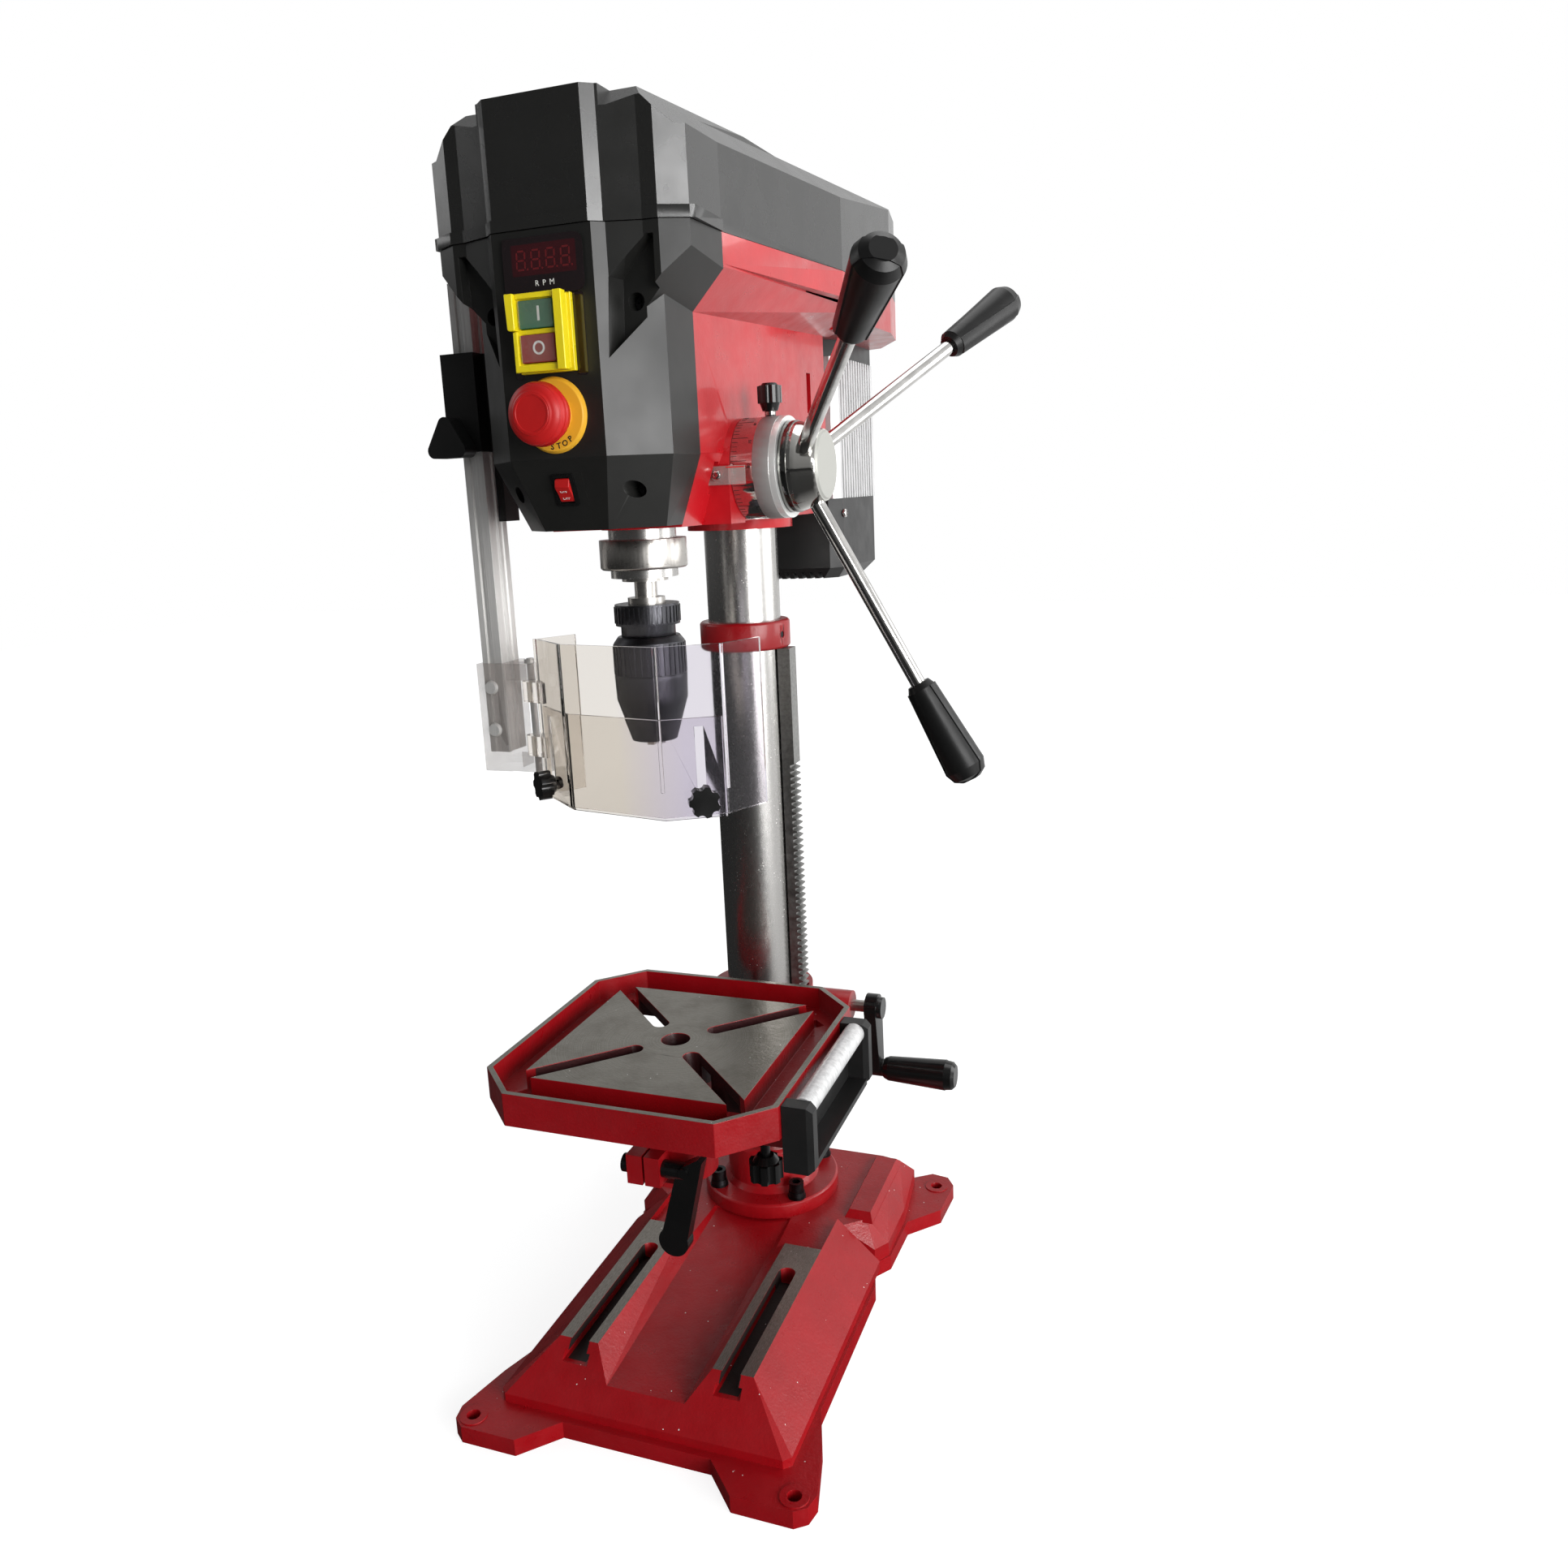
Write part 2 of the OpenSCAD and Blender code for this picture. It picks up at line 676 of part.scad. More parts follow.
module head_casting() color(red) {
    difference() {
        union() {
            difference() {
                head_outer();
                // Tray under the belt cover
                translate([0, 0, 935]) linear_extrude(60) grown(head_half, cast_wall);
                // Hollow behind the front panel
                difference() {
                    union() {
                        translate([-46, -300, head_z + cast_wall]) cube([92, 250, 41]);
                        translate([8 - body_x, -300, knee_z - 5])
                            cube([2 * body_x - 16, 250, 922 - knee_z]);
                    }
                    translate([0, spindle_y, 740]) cylinder(h = 200, r = 37);
                    translate([0, 0, 740]) cylinder(h = 200, r = 50);
                    translate([-90, -feed_y - 30, feed_z - 34]) cube([180, 60, 68]);
                }
            }
            for (s = [-1, 1]) {
                translate([s * screw_hi[0], 0, screw_hi[1]]) rod_y(panel_back, panel_back + 60, 10.5);
                translate([s * screw_lo[0], 0, screw_lo[1]]) rod_y(panel_back, panel_back + 60, 10.5);
            }
        }
        translate([0, spindle_y, 700]) cylinder(h = 211, r = quill_r + fit);
        translate([0, spindle_y, 900]) cylinder(h = 80, r = 13);
        translate([0, 0, 700]) cylinder(h = column_top - 700, r = column_r);
        translate([0, -feed_y, feed_z]) {
            // Room for the feed pinion, its shaft and the return spring
            rod_x(-12.6, 12.6, feed_module * (feed_teeth / 2 + 1) + 0.8);
            rod_x(-140, 140, shaft_r + fit);
            rod_x(-ring_x - 1, -56, 27);
        }
        translate([0, motor_y, 900]) cylinder(h = 80, r = 30);
        // Slots of the head's clamp beside the column
        for (s = [-1, 1]) translate([s * 84 - 22, -10, 846]) cube([44, 11, 35]);
        // Flat for the pointer beside the boss
        translate([61.5, boss_front - 8, pointer_z - 14]) cube([40, 8, 24]);
        for (s = [-1, 1]) {
            translate([s * screw_hi[0], 0, screw_hi[1]]) rod_y(panel_back - 1, panel_back + 15, 2.5);
            translate([s * screw_lo[0], 0, screw_lo[1]]) rod_y(panel_back - 1, panel_back + 15, 2.5);
        }
        translate([0, -4.5, 862]) rod_x(30, 100, 4);
    }
    // Cover hinge lugs at the back
    for (s = [-1, 1]) translate([s * 30, 0, 0]) difference() {
        union() {
            translate([-6, 236, lip_z - 22]) cube([12, 20, 22]);
            translate([0, hinge_y, lip_z]) rod_x(-6, 6, 8);
        }
        translate([0, hinge_y, lip_z]) rod_x(-10, 10, 4 + fit);
    }
}

// Panel screws: sideways place and height of the upper and the lower pair
screw_hi = [56, 908];
screw_lo = [46.5, 784];

module screw_y(x, y, z, l) {
    translate([x, 0, z]) {
        rod_y(y, y + l, 2.5);
        difference() {
            rod_y(y - 3, y, 4.6);
            translate([-0.6, y - 4, -3]) cube([1.2, 2.6, 6]);
            translate([-3, y - 4, -0.6]) cube([6, 2.6, 1.2]);
        }
    }
}

module head_screws() color(steel) {
    for (s = [-1, 1]) {
        screw_y(s * screw_hi[0], -303, screw_hi[1], 303 - joint_y + 12);
        screw_y(s * screw_lo[0], -297, screw_lo[1], 297 - joint_y + 12);
    }
    rotate(-14) translate([0, 0, collar_z + collar_h / 2]) rod_x(column_r, collar_r - 1, 3);
    translate([0, -4.5, 862]) rod_x(column_r, 68, 4);
}

// Outer form of the moulded front panel, shrunk all round by d
module panel_form(d) {
    difference() {
        intersection() {
            union() {
                translate([0, 0, head_z + 2 + d]) linear_extrude(lip_z - head_z - 2 - d)
                    grown(lower_half, d);
                // Wider block under the belt cover
                for (s = [0, 1]) mirror([s, 0, 0]) intersection() {
                    translate([0, 0, 860]) linear_extrude(lip_z - 860) grown(block_half, d);
                    translate([0, -400, 800]) cube(400);
                    translate([body_x, panel_back, 906 + d * 1.4]) rotate([-5.9, -46.7, 0])
                        translate([-120, -120, 0]) cube([300, 240, 200]);
                }
            }
            // Chin that slopes back below the knee
            union() {
                translate([-150, -400, knee_z - 1]) cube([300, 200, 200]);
                hull() {
                    translate([0, 0, knee_z - 1]) linear_extrude(1) grown(lower_half, d);
                    translate([0, 0, head_z]) linear_extrude(1)
                        polygon(both([[25 - d, -face_y + chin_back + d], [55.5 - d, -287 + d],
                            [body_x - 18.6 - d, panel_back]]));
                }
            }
        }
        // Flat pocket round each upper screw, running out to a point
        for (s = [0, 1]) mirror([s, 0, 0]) hull() {
            pocket_cut(d, -345, 0, 0);
            pocket_cut(d, pocket_y + d, 3.5, 2.5 * d);
        }
    }
}

// Outline of the pocket in the panel, drawn in by inset and grown by d at depth y
module pocket_cut(d, y, inset, grow) {
    g = grow - inset;
    translate([0, y, 0]) rotate([90, 0, 0]) linear_extrude(1) polygon([[78 + g, lip_z - 6 + g],
        [69 - g * 0.4, lip_z - 6 + g], [43.7 - g, 922.9], [41.5 - g, 868 - g * 2.4],
        [77.3 + g, 909]]);
}

pocket_y = -314;

module panel_screws(h_hi, h_lo, r) {
    for (s = [-1, 1]) {
        translate([s * screw_hi[0], 0, screw_hi[1]]) rod_y(-360, h_hi, r);
        translate([s * screw_lo[0], 0, screw_lo[1]]) rod_y(-360, h_lo, r);
    }
}

module front_panel() color(black) {
    difference() {
        panel_form(0);
        difference() {
            intersection() {
                panel_form(cover_wall);
                translate([-150, -400, 0]) cube([300, 400, lip_z - cover_wall]);
            }
            panel_screws(panel_back, panel_back, 8.5);
        }
        // Seats of the display, switch box, stop button and rocker
        translate([-26, -face_y - 1, 918]) cube([48, 7, 31]);
        translate([-17, -face_y - 1, 867]) cube([34, 11, 46]);
        translate([0, 0, stop_z]) rod_y(-face_y - 1, -face_y + 12, 11);
        on_chin() translate([-12, -20, -9.5]) cube([24, 34, 19]);
        panel_screws(-303, -297, 6);
        panel_screws(panel_back + 1, panel_back + 1, 2.5);
    }
}

module display_window() color(black) {
    translate([-29, -face_y - 2, 915]) cube([54, 2, 37]);
    translate([-26, -face_y, 918]) cube([48, 6, 31]);
}

box_front = face_y + 13;

module switch_box() color(yellow) {
    difference() {
        union() {
            translate([-21, -face_y - 4, 864]) cube([42, 4, 50.6]);
            translate([-18, -box_front, 866]) cube([36, 13, 48]);
            translate([-17, -face_y, 867]) cube([34, 10, 46]);
        }
        for (z = button_zs) translate([-13.3, -box_front - 1, z - 9.3]) cube([26.6, 17, 18.6]);
    }
}

button_zs = [901, 879];

module push_button(z) {
    translate([-13, -box_front - 1.5, z - 9]) cube([26, 12, 18]);
}

module green_button() color([0.1, 0.55, 0.2]) push_button(button_zs[0]);

module red_button() color([0.8, 0.1, 0.1]) push_button(button_zs[1]);

stop_z = 836;

module estop_base() color(yellow) {
    translate([0, 0, stop_z]) difference() {
        union() {
            rod_y(-face_y - 4, -face_y, 24, 26);
            rod_y(-face_y - 14, -face_y - 4, 15);
            rod_y(-face_y, -face_y + 12, 11);
        }
        rod_y(-face_y - 20, -face_y + 20, 8 + fit);
    }
}

module estop_mushroom() color([0.8, 0.1, 0.1]) {
    translate([0, 0, stop_z]) {
        rod_y(-face_y - 20, -face_y + 8, 8);
        rod_y(-face_y - 27, -face_y - 19, 20, 21.5);
        rod_y(-face_y - 31, -face_y - 27, 14, 20);
    }
}

// Frame lying in the chin's sloping face, with -Y pointing out of it
chin_tilt = atan(chin_back / (knee_z - 1 - head_z));
rocker_z = 786;

module on_chin() {
    translate([0, -face_y + (knee_z - 1 - rocker_z) * tan(chin_tilt), rocker_z])
        rotate([chin_tilt, 0, 0]) children();
}

module rocker_bezel() color(black) {
    on_chin() difference() {
        union() {
            translate([-15, -2.5, -12]) cube([30, 2.5, 24]);
            translate([-12, 0, -9.5]) cube([24, 14, 19]);
        }
        translate([-10.5, -4, -8]) cube([21, 17, 16]);
    }
}

module rocker() color(black) {
    on_chin() difference() {
        rod_x(-10.2, 10.2, 7.4);
        translate([-20, -20, -20]) cube([40, 16, 40]);
        translate([-20, 6, -20]) cube([40, 16, 40]);
    }
}

// Motor and drive

fin_pitch = 9;

module motor_body() color(silver) {
    difference() {
        translate([0, motor_y, motor_z0]) linear_extrude(motor_z1 - motor_z0) difference() {
            square(2 * motor_h, center = true);
            for (a = [0 : 90 : 270]) rotate(a) {
                for (i = [-6 : 6]) translate([motor_h - 6, i * fin_pitch - 2.5])
                    square([10, 5]);
                translate([motor_h, motor_h]) rotate(45) square([9, 40], center = true);
            }
        }
        translate([0, motor_y, motor_z0 - 1]) cylinder(h = 200, r = motor_h - 14);
    }
}

module motor_end_caps() color(black) {
    cap_half = [[motor_h - 12, -motor_h], [motor_h, -motor_h + 12], [motor_h, motor_h - 12],
        [motor_h - 12, motor_h]];
    translate([0, motor_y, 0]) {
        // Upper cap, bolted under the head's tray
        difference() {
            slab(motor_z1, tray_z, cap_half);
            translate([0, 0, motor_z1 - 1]) cylinder(h = 12, r = 50);
            translate([0, 0, motor_z1]) cylinder(h = 30, r = 20);
        }
        // Fan cover with cooling slots
        difference() {
            union() {
                slab(700, motor_z0, cap_half);
                hull() {
                    slab(688, 689, [[48, -60], [60, -48], [60, 48], [48, 60]]);
                    slab(699, 700, cap_half);
                }
            }
            translate([0, 0, 693]) cylinder(h = 100, r = motor_h - 8);
            for (i = [-5 : 5]) translate([i * 9 - 2, -66, 680])
                cube([4, 111 - abs(i) * 3, 20]);
            for (i = [0 : 4]) translate([-45, 20, 712 + i * 9]) cube([90, 100, 4]);
        }
    }
}

pulley_z0 = 962;
pulley_z1 = 1010;

module stepped_pulley(z0) {
    difference() {
        union() {
            for (i = [0 : 3]) {
                translate([0, 0, z0 + i * 12]) cylinder(h = 2, r = pulley_r - i * 4);
                translate([0, 0, z0 + i * 12 + 2]) cylinder(h = 4, r1 = pulley_r - i * 4,
                    r2 = pulley_r - i * 4 - 4);
                translate([0, 0, z0 + i * 12 + 6]) cylinder(h = 4, r1 = pulley_r - i * 4 - 4,
                    r2 = pulley_r - i * 4);
                translate([0, 0, z0 + i * 12 + 10]) cylinder(h = 2, r = pulley_r - i * 4);
            }
        }
        translate([0, 0, z0 + 14]) cylinder(h = 50, r = pulley_r - 20);
    }
}

module spindle_pulley() color(silver) {
    translate([0, spindle_y, 0]) difference() {
        union() {
            stepped_pulley(pulley_z0);
            translate([0, 0, 926]) cylinder(h = 50, r = 12.7);
        }
        translate([0, 0, 900]) cylinder(h = 150, r = 8 + fit);
    }
}

module motor_pulley() color(silver) {
    translate([0, motor_y, 0]) {
        difference() {
            stepped_pulley(pulley_z0);
            translate([0, 0, 950]) cylinder(h = 100, r = 8);
        }
        translate([0, 0, motor_z0 + 20]) cylinder(h = 190, r = 8);
        translate([0, 0, motor_z0 + 30]) cylinder(h = 100, r = 40);
        translate([0, 0, 720]) cylinder(h = 90, r = 8);
        translate([0, 0, 716]) for (a = [0 : 45 : 315]) rotate(a)
            translate([6, -2, 0]) cube([46, 4, 26]);
    }
}

belt_z = pulley_z0 + 4;

module belt_loop(r, z0, h) {
    hull() {
        translate([0, spindle_y, z0]) cylinder(h = h, r = r);
        translate([0, motor_y, z0]) cylinder(h = h, r = r);
    }
}

module belt() color(black) {
    difference() {
        belt_loop(pulley_r + 3, belt_z - 2, 8);
        belt_loop(pulley_r + gap, belt_z - 3, 12);
    }
}

// Belt cover

cover_half = concat(block_half, [for (i = [1 : len(head_half) - 1]) head_half[i]]);
side_lean = atan2(head_half[1][0] - head_half[0][0], head_half[1][1] - head_half[0][1]);

module cover_form(d) {
    difference() {
        union() {
            translate([0, 0, lip_z + gap]) linear_extrude(cover_top - 8 - lip_z - gap - d)
                grown(cover_half, d);
            translate([0, 0, lip_z + gap]) linear_extrude(cover_top - lip_z - gap - d)
                polygon(both([[36.5 - d, -face_y + d], [44.2 - d, -face_y + 6.7 + d],
                    [68.5 - d, -323.4 + d], [79.6 - d, -322.7 + d], [90 - d, 60], [84 - d, 120],
                    [60 - d, 200 - d]]));
        }
        // Dip in the top edge over the recess beside the centre bay
        for (s = [0, 1]) mirror([s, 0, 0]) translate([46 - d, 0, -d]) rotate([90, 0, 90])
            linear_extrude(27 + 2 * d) polygon([[-345, cover_top - 13], [-330, cover_top - 13],
                [-312, cover_top + 1], [-312, cover_top + 19], [-345, cover_top + 19]]);
        for (s = [0, 1]) mirror([s, 0, 0]) translate([98.5 - d, panel_back, 0]) rotate(-side_lean)
            rotate([90, 0, 0]) translate([0, 0, -600]) linear_extrude(700)
                polygon([[0, cover_top - 26 - d / 2], [40, cover_top - 26 - d / 2],
                    [40, cover_top + 59], [-26, cover_top + 59], [-26, cover_top - d / 2]]);
    }
}

module belt_cover() color(black) {
    difference() {
        union() {
            cover_form(0);
            translate([0, 0, lip_z + gap]) linear_extrude(8)
                polygon(both([[37, -face_y - 1.5], [44.7, -face_y + 5.3], [69, -325], [80, -324.2],
                    [98.5, -312.8], [101.5, -311], [99.8, panel_back], [80, panel_back]]));
            // Hinge lugs at the back
            for (s = [-1, 1]) translate([s * 44, 0, lip_z]) {
                translate([-6, 236, gap]) cube([12, 12, 10]);
                translate([0, hinge_y, 0]) rod_x(-6, 6, 8);
            }
        }
        difference() {
            cover_form(cover_wall);
            translate([0, 0, lip_z + 200]) cube(10);
        }
        translate([0, 0, lip_z - 1]) linear_extrude(2) grown(cover_half, cover_wall);
        for (s = [-1, 1]) {
            translate([s * 44, hinge_y, lip_z]) rod_x(-7, 7, 4);
            translate([s * 30 - 7, 230, lip_z - 1]) cube([14, 30, 10]);
        }
    }
    // Hinge pins, turning in the head's lugs
    for (s = [-1, 1]) translate([s * 37, hinge_y, lip_z]) rod_x(-13, 13, 4);
}

// Quill, spindle and chuck

quill_z0 = 716;
quill_z1 = 902;
feed_pitch_y = -feed_y - feed_module * feed_teeth / 2;
seat_r = 18.5;

module quill() color(steel) {
    difference() {
        translate([0, spindle_y, quill_z0]) cylinder(h = quill_z1 - quill_z0, r = quill_r);
        translate([0, spindle_y, quill_z0 - 1]) cylinder(h = 200, r = 11);
        translate([0, spindle_y, quill_z0 - 1]) cylinder(h = 21, r = seat_r);
        translate([0, spindle_y, quill_z1 - 20]) cylinder(h = 21, r = seat_r);
        // Rack teeth on the back
        difference() {
            translate([-30, feed_pitch_y - 1.25 * feed_module, feed_z - 3 * PI * feed_module])
                cube([60, 20, 22.5 * PI * feed_module]);
            translate([-30, feed_pitch_y, feed_z]) rotate([90, 0, 90]) linear_extrude(60)
                rack2d(feed_module, -4, 20, 6);
        }
    }
}

module quill_collar() color(silver) {
    translate([0, spindle_y, 0]) difference() {
        union() {
            translate([0, 0, 724.2]) cylinder(h = 22, r = quill_collar_r);
            translate([0, 0, 722.7]) cylinder(h = 1.5, r1 = quill_collar_r - 1.5, r2 = quill_collar_r);
        }
        translate([0, 0, 720]) cylinder(h = 30, r = quill_r);
    }
}

module quill_bearings() color(steel) {
    translate([0, spindle_y, 0]) difference() {
        union() {
            translate([0, 0, 713]) cylinder(h = quill_z0 + 20 - 713, r = seat_r);
            translate([0, 0, quill_z1 - 20]) cylinder(h = 20, r = seat_r);
        }
        translate([0, 0, 700]) cylinder(h = 220, r = 9 + fit);
    }
}

module spindle() color(steel) {
    translate([0, spindle_y, 0]) {
        translate([0, 0, 664]) cylinder(h = 31, r = 8);
        translate([0, 0, chuck_top + 0.8]) cylinder(h = 5, r = 15);
        translate([0, 0, chuck_top + 0.8]) cylinder(h = quill_z1 + 4 - chuck_top, r = 9);
        translate([0, 0, quill_z1]) cylinder(h = pulley_z1 - 8 - quill_z1, r = 8);
    }
}

core_r = 16;

module chuck_body() color([0.25, 0.25, 0.27]) {
    translate([0, spindle_y, 0]) difference() {
        union() {
            translate([0, 0, 678]) cylinder(h = chuck_top + 0.8 - 678, r = 26);
            for (a = [0 : 9 : 351]) rotate(a) translate([25.4, -1, 680]) cube([1.4, 2, 13]);
            translate([0, 0, 669.3]) cylinder(h = 9, r = 22);
            translate([0, 0, chuck_z + 6]) cylinder(h = 90, r = core_r);
        }
        translate([0, 0, 664]) cylinder(h = 60, r = 8);
        translate([0, 0, chuck_z]) cylinder(h = 46, r = 10);
    }
}

module chuck_sleeve() color([0.25, 0.25, 0.27]) {
    translate([0, spindle_y, 0]) difference() {
        union() {
            translate([0, 0, chuck_z]) cylinder(h = 34, r1 = 18, r2 = 28.6);
            translate([0, 0, chuck_z + 34]) cylinder(h = 20, r1 = 28.6, r2 = chuck_r);
            translate([0, 0, chuck_z + 54]) cylinder(h = 26, r = chuck_r - 0.6);
            translate([0, 0, chuck_z + 80]) cylinder(h = 5, r1 = chuck_r - 0.6, r2 = 25);
            for (a = [0 : 10 : 350]) rotate(a) translate([chuck_r - 2, -1.2, chuck_z + 55])
                cube([2.1, 2.4, 24]);
        }
        translate([0, 0, chuck_z + 5.7]) cylinder(h = 100, r = core_r + fit);
        translate([0, 0, chuck_z - 1]) cylinder(h = 10, r = 10.5);
    }
}

module chuck_jaws() color(steel) {
    translate([0, spindle_y, chuck_z - 4]) for (a = [30, 150, 270]) rotate(a) intersection() {
        cylinder(h = 46, r = 10 - fit);
        union() {
            translate([2.8, -4, 8]) cube([10, 8, 38]);
            translate([2.8, -3, 0]) cube([5, 6, 9]);
        }
    }
}

// Feed

hub_x = ring_x + ring_l + 1;
shaft_r = 8;
sleeve_r = 20;
spoke_r = 6;
spoke_angles = [153.2, 33.2, 273.2];

module on_spoke(a) {
    translate([hub_x + 3, -feed_y, feed_z]) rotate([a, 0, 0]) rotate([0, 0, -spoke_lean])
        children();
}

module feed_shaft() color(steel) {
    translate([0, -feed_y, feed_z]) {
        rod_x(-92, hub_x + 5, shaft_r);
        rotate([90, 0, 90]) translate([0, 0, -12]) linear_extrude(24)
            rotate(180) gear2d(feed_module, feed_teeth);
    }
}

module feed_hub() color(silver) {
    difference() {
        translate([0, -feed_y, feed_z]) {
            rod_x(ring_x + 1, hub_x, sleeve_r);
            rod_x(hub_x, hub_x + 6, 35);
            rod_x(hub_x + 6, hub_x + 9, 34);
            rod_x(hub_x + 9, hub_x + hub_l, 34, hub_end_r + 1);
            rod_x(hub_x + hub_l, hub_x + hub_l + 1.5, hub_end_r, hub_end_r - 1);
        }
        translate([0, -feed_y, feed_z]) rod_x(0, hub_x + 5, shaft_r);
        for (a = spoke_angles) on_spoke(a) rod_y(18, 80, spoke_r);
    }
}

module feed_spokes() color(silver) {
    for (a = spoke_angles) on_spoke(a) rod_y(18, spoke_l + 50, spoke_r);
}

module feed_grips() color(black) {
    for (a = spoke_angles) on_spoke(a) difference() {
        union() {
            rod_y(spoke_l, spoke_l + 5, 9, 11.5);
            rod_y(spoke_l + 5, spoke_l + grip_l * 0.7, 11.5, 15);
            rod_y(spoke_l + grip_l * 0.7, spoke_l + grip_l * 0.88, 15, 16);
            rod_y(spoke_l + grip_l * 0.88, spoke_l + grip_l * 0.97, 16, 13);
            rod_y(spoke_l + grip_l * 0.97, spoke_l + grip_l, 13, 8);
            // Raised strap along both sides and over the end
            intersection() {
                union() {
                    rod_y(spoke_l + 5, spoke_l + grip_l * 0.7, 12.4, 15.9);
                    rod_y(spoke_l + grip_l * 0.7, spoke_l + grip_l * 0.88, 15.9, 16.9);
                    rod_y(spoke_l + grip_l * 0.88, spoke_l + grip_l * 0.97, 16.9, 13.9);
                    rod_y(spoke_l + grip_l * 0.97, spoke_l + grip_l + 0.9, 13.9, 8.5);
                }
                translate([-20, spoke_l, -7]) cube([40, grip_l + 2, 14]);
            }
        }
        rod_y(spoke_l - 1, spoke_l + 50, spoke_r);
    }
}

lock_x = ring_x + 20.5;

module depth_ring() color(silver) {
    difference() {
        translate([0, -feed_y, feed_z]) {
            rod_x(ring_x, ring_x + 17.8, ring_r);
            rod_x(ring_x + 17.8, ring_x + ring_l - 5, ring_r + 0.2);
            rod_x(ring_x + ring_l - 5, ring_x + ring_l, ring_r);
        }
        translate([0, -feed_y, feed_z]) rod_x(ring_x - 1, ring_x + 60, sleeve_r + fit);
        translate([lock_x, -feed_y, feed_z]) cylinder(h = 60, r = 4 + fit);
    }
}

module depth_lock_knob() color(black) {
    translate([lock_x, -feed_y, feed_z]) {
        translate([0, 0, sleeve_r + 0.5]) cylinder(h = 24, r = 4);
        translate([0, 0, ring_r + 4]) cylinder(h = 6, r1 = 6, r2 = 8);
        translate([0, 0, ring_r + 10]) lobed(9.5, 5, 13);
        translate([0, 0, ring_r + 23]) cylinder(h = 2, r1 = 7, r2 = 5.5);
    }
}

pointer_z = 792;
boss_front = -feed_y - 41;

module pointer_plate() color(clear) {
    translate([0, boss_front - 3, pointer_z]) {
        difference() {
            union() {
                translate([62.5, 0, -7.5]) cube([ring_x - 63, 3, 14]);
                translate([ring_x - 1, 0, -7.5]) cube([14.5, 2, 14]);
            }
            translate([71, 0, 0]) rod_y(-1, 4, 2.5);
        }
        translate([71, 0, 0]) rod_y(-2, 3, 2.5);
        translate([71, 0, 0]) rod_y(-2.5, 0, 4.5);
    }
}

module return_spring_cap() color(black) {
    translate([0, -feed_y, feed_z]) difference() {
        union() {
            rod_x(-ring_x - 10, -ring_x, 32);
            rod_x(-ring_x - 14, -ring_x - 10, 26, 30);
        }
        rod_x(-ring_x - 6, -ring_x + 1, 27);
        rod_x(-120, -50, shaft_r + fit);
    }
}

// Guard

clamp_z0 = 820;
clamp_z1 = 896;
pin_x = -104;
pin_y = -228;
knob_z = 828;

module rail_space(c) {
    translate([-rail_x - rail_w / 2 - c, -rail_y - rail_t / 2 - c, 0])
        cube([rail_w + 2 * c, rail_t + 2 * c, 1100]);
}

// Plan of the head's side walls, which the clamp's foot lies against
module head_side() {
    translate([0, 0, clamp_z0 - 10]) linear_extrude(100) polygon(both([[body_x, panel_back - 20],
        [body_x, panel_back], [body_x + 2.5, 42]]));
    translate([0, 0, clamp_z0 - 10]) linear_extrude(100) polygon(both(lower_half));
}

rail_left = -rail_x - rail_w / 2;
rail_front = -rail_y - rail_t / 2;
clamp_wall = 9;
knob_x = rail_left + 4.5;

module rail_clamp() color(black) {
    difference() {
        union() {
            translate([rail_left - 7, rail_front - clamp_wall, clamp_z0])
                cube([rail_w + 12, rail_t + 2 * clamp_wall, clamp_z1 - clamp_z0]);
            // Arm and foot that is screwed to the head's side
            translate([-rail_x, rail_front + 6, clamp_z0])
                cube([rail_x - body_x, rail_t - 6, clamp_z1 - clamp_z0]);
            translate([-96, -255, clamp_z0]) cube([96 - body_x, 50, 84]);
            // Tail that steadies the rail
            translate([rail_left + rail_w + gap, -rail_y + 2, clamp_z0 - 56])
                cube([7, rail_t / 2 + clamp_wall - 2, 60]);
        }
        rail_space(gap);
        head_side();
        translate([knob_x, 0, knob_z]) rod_y(rail_front - clamp_wall - 1, rail_front, 4 + fit);
    }
}

module wing_knob() color(black) {
    y0 = rail_front - clamp_wall - gap;
    translate([knob_x, 0, knob_z]) {
        rod_y(y0 - 10, rail_front - 0.5, 4);
        rod_y(y0 - 5, y0, 8.5, 9);
        translate([0, y0 - 4, 0]) rotate([90, 0, 0]) hull()
            for (a = [90 : 120 : 330]) rotate(a) translate([13, 0, 0]) cylinder(h = 16, r = 6);
    }
}

module guard_rail() color(black) {
    w = rail_w / 2;
    t = rail_t / 2;
    difference() {
        // Extruded profile with a groove in its front and two in its side
        translate([-rail_x, -rail_y, rail_z0]) linear_extrude(rail_z1 - rail_z0)
            polygon([[-w, -t], [-w + 5.4, -t], [-w + 6, -t + 1.6], [-w + 8.3, -t + 1.6],
                [-w + 8.6, -t + 0.6], [-w + 10.4, -t + 0.6], [-w + 11, -t], [w, -t], [w, -t + 4],
                [w - 1.6, -t + 5], [w - 1.6, -1], [w, 0], [w, 3], [w - 1.2, 4], [w - 1.2, 6],
                [w, 7], [w, t], [-w, t]]);
        translate([rail_left + 4, -rail_y + 2, rail_z0 + 90])
            cube([rail_w - 8, rail_t, rail_z1 - rail_z0 - 95]);
        for (z = screw_zs) translate([-rail_x, 0, z]) rod_y(-260, -190, 3);
    }
}

screw_zs = [592, 628];
bracket_t = 4;

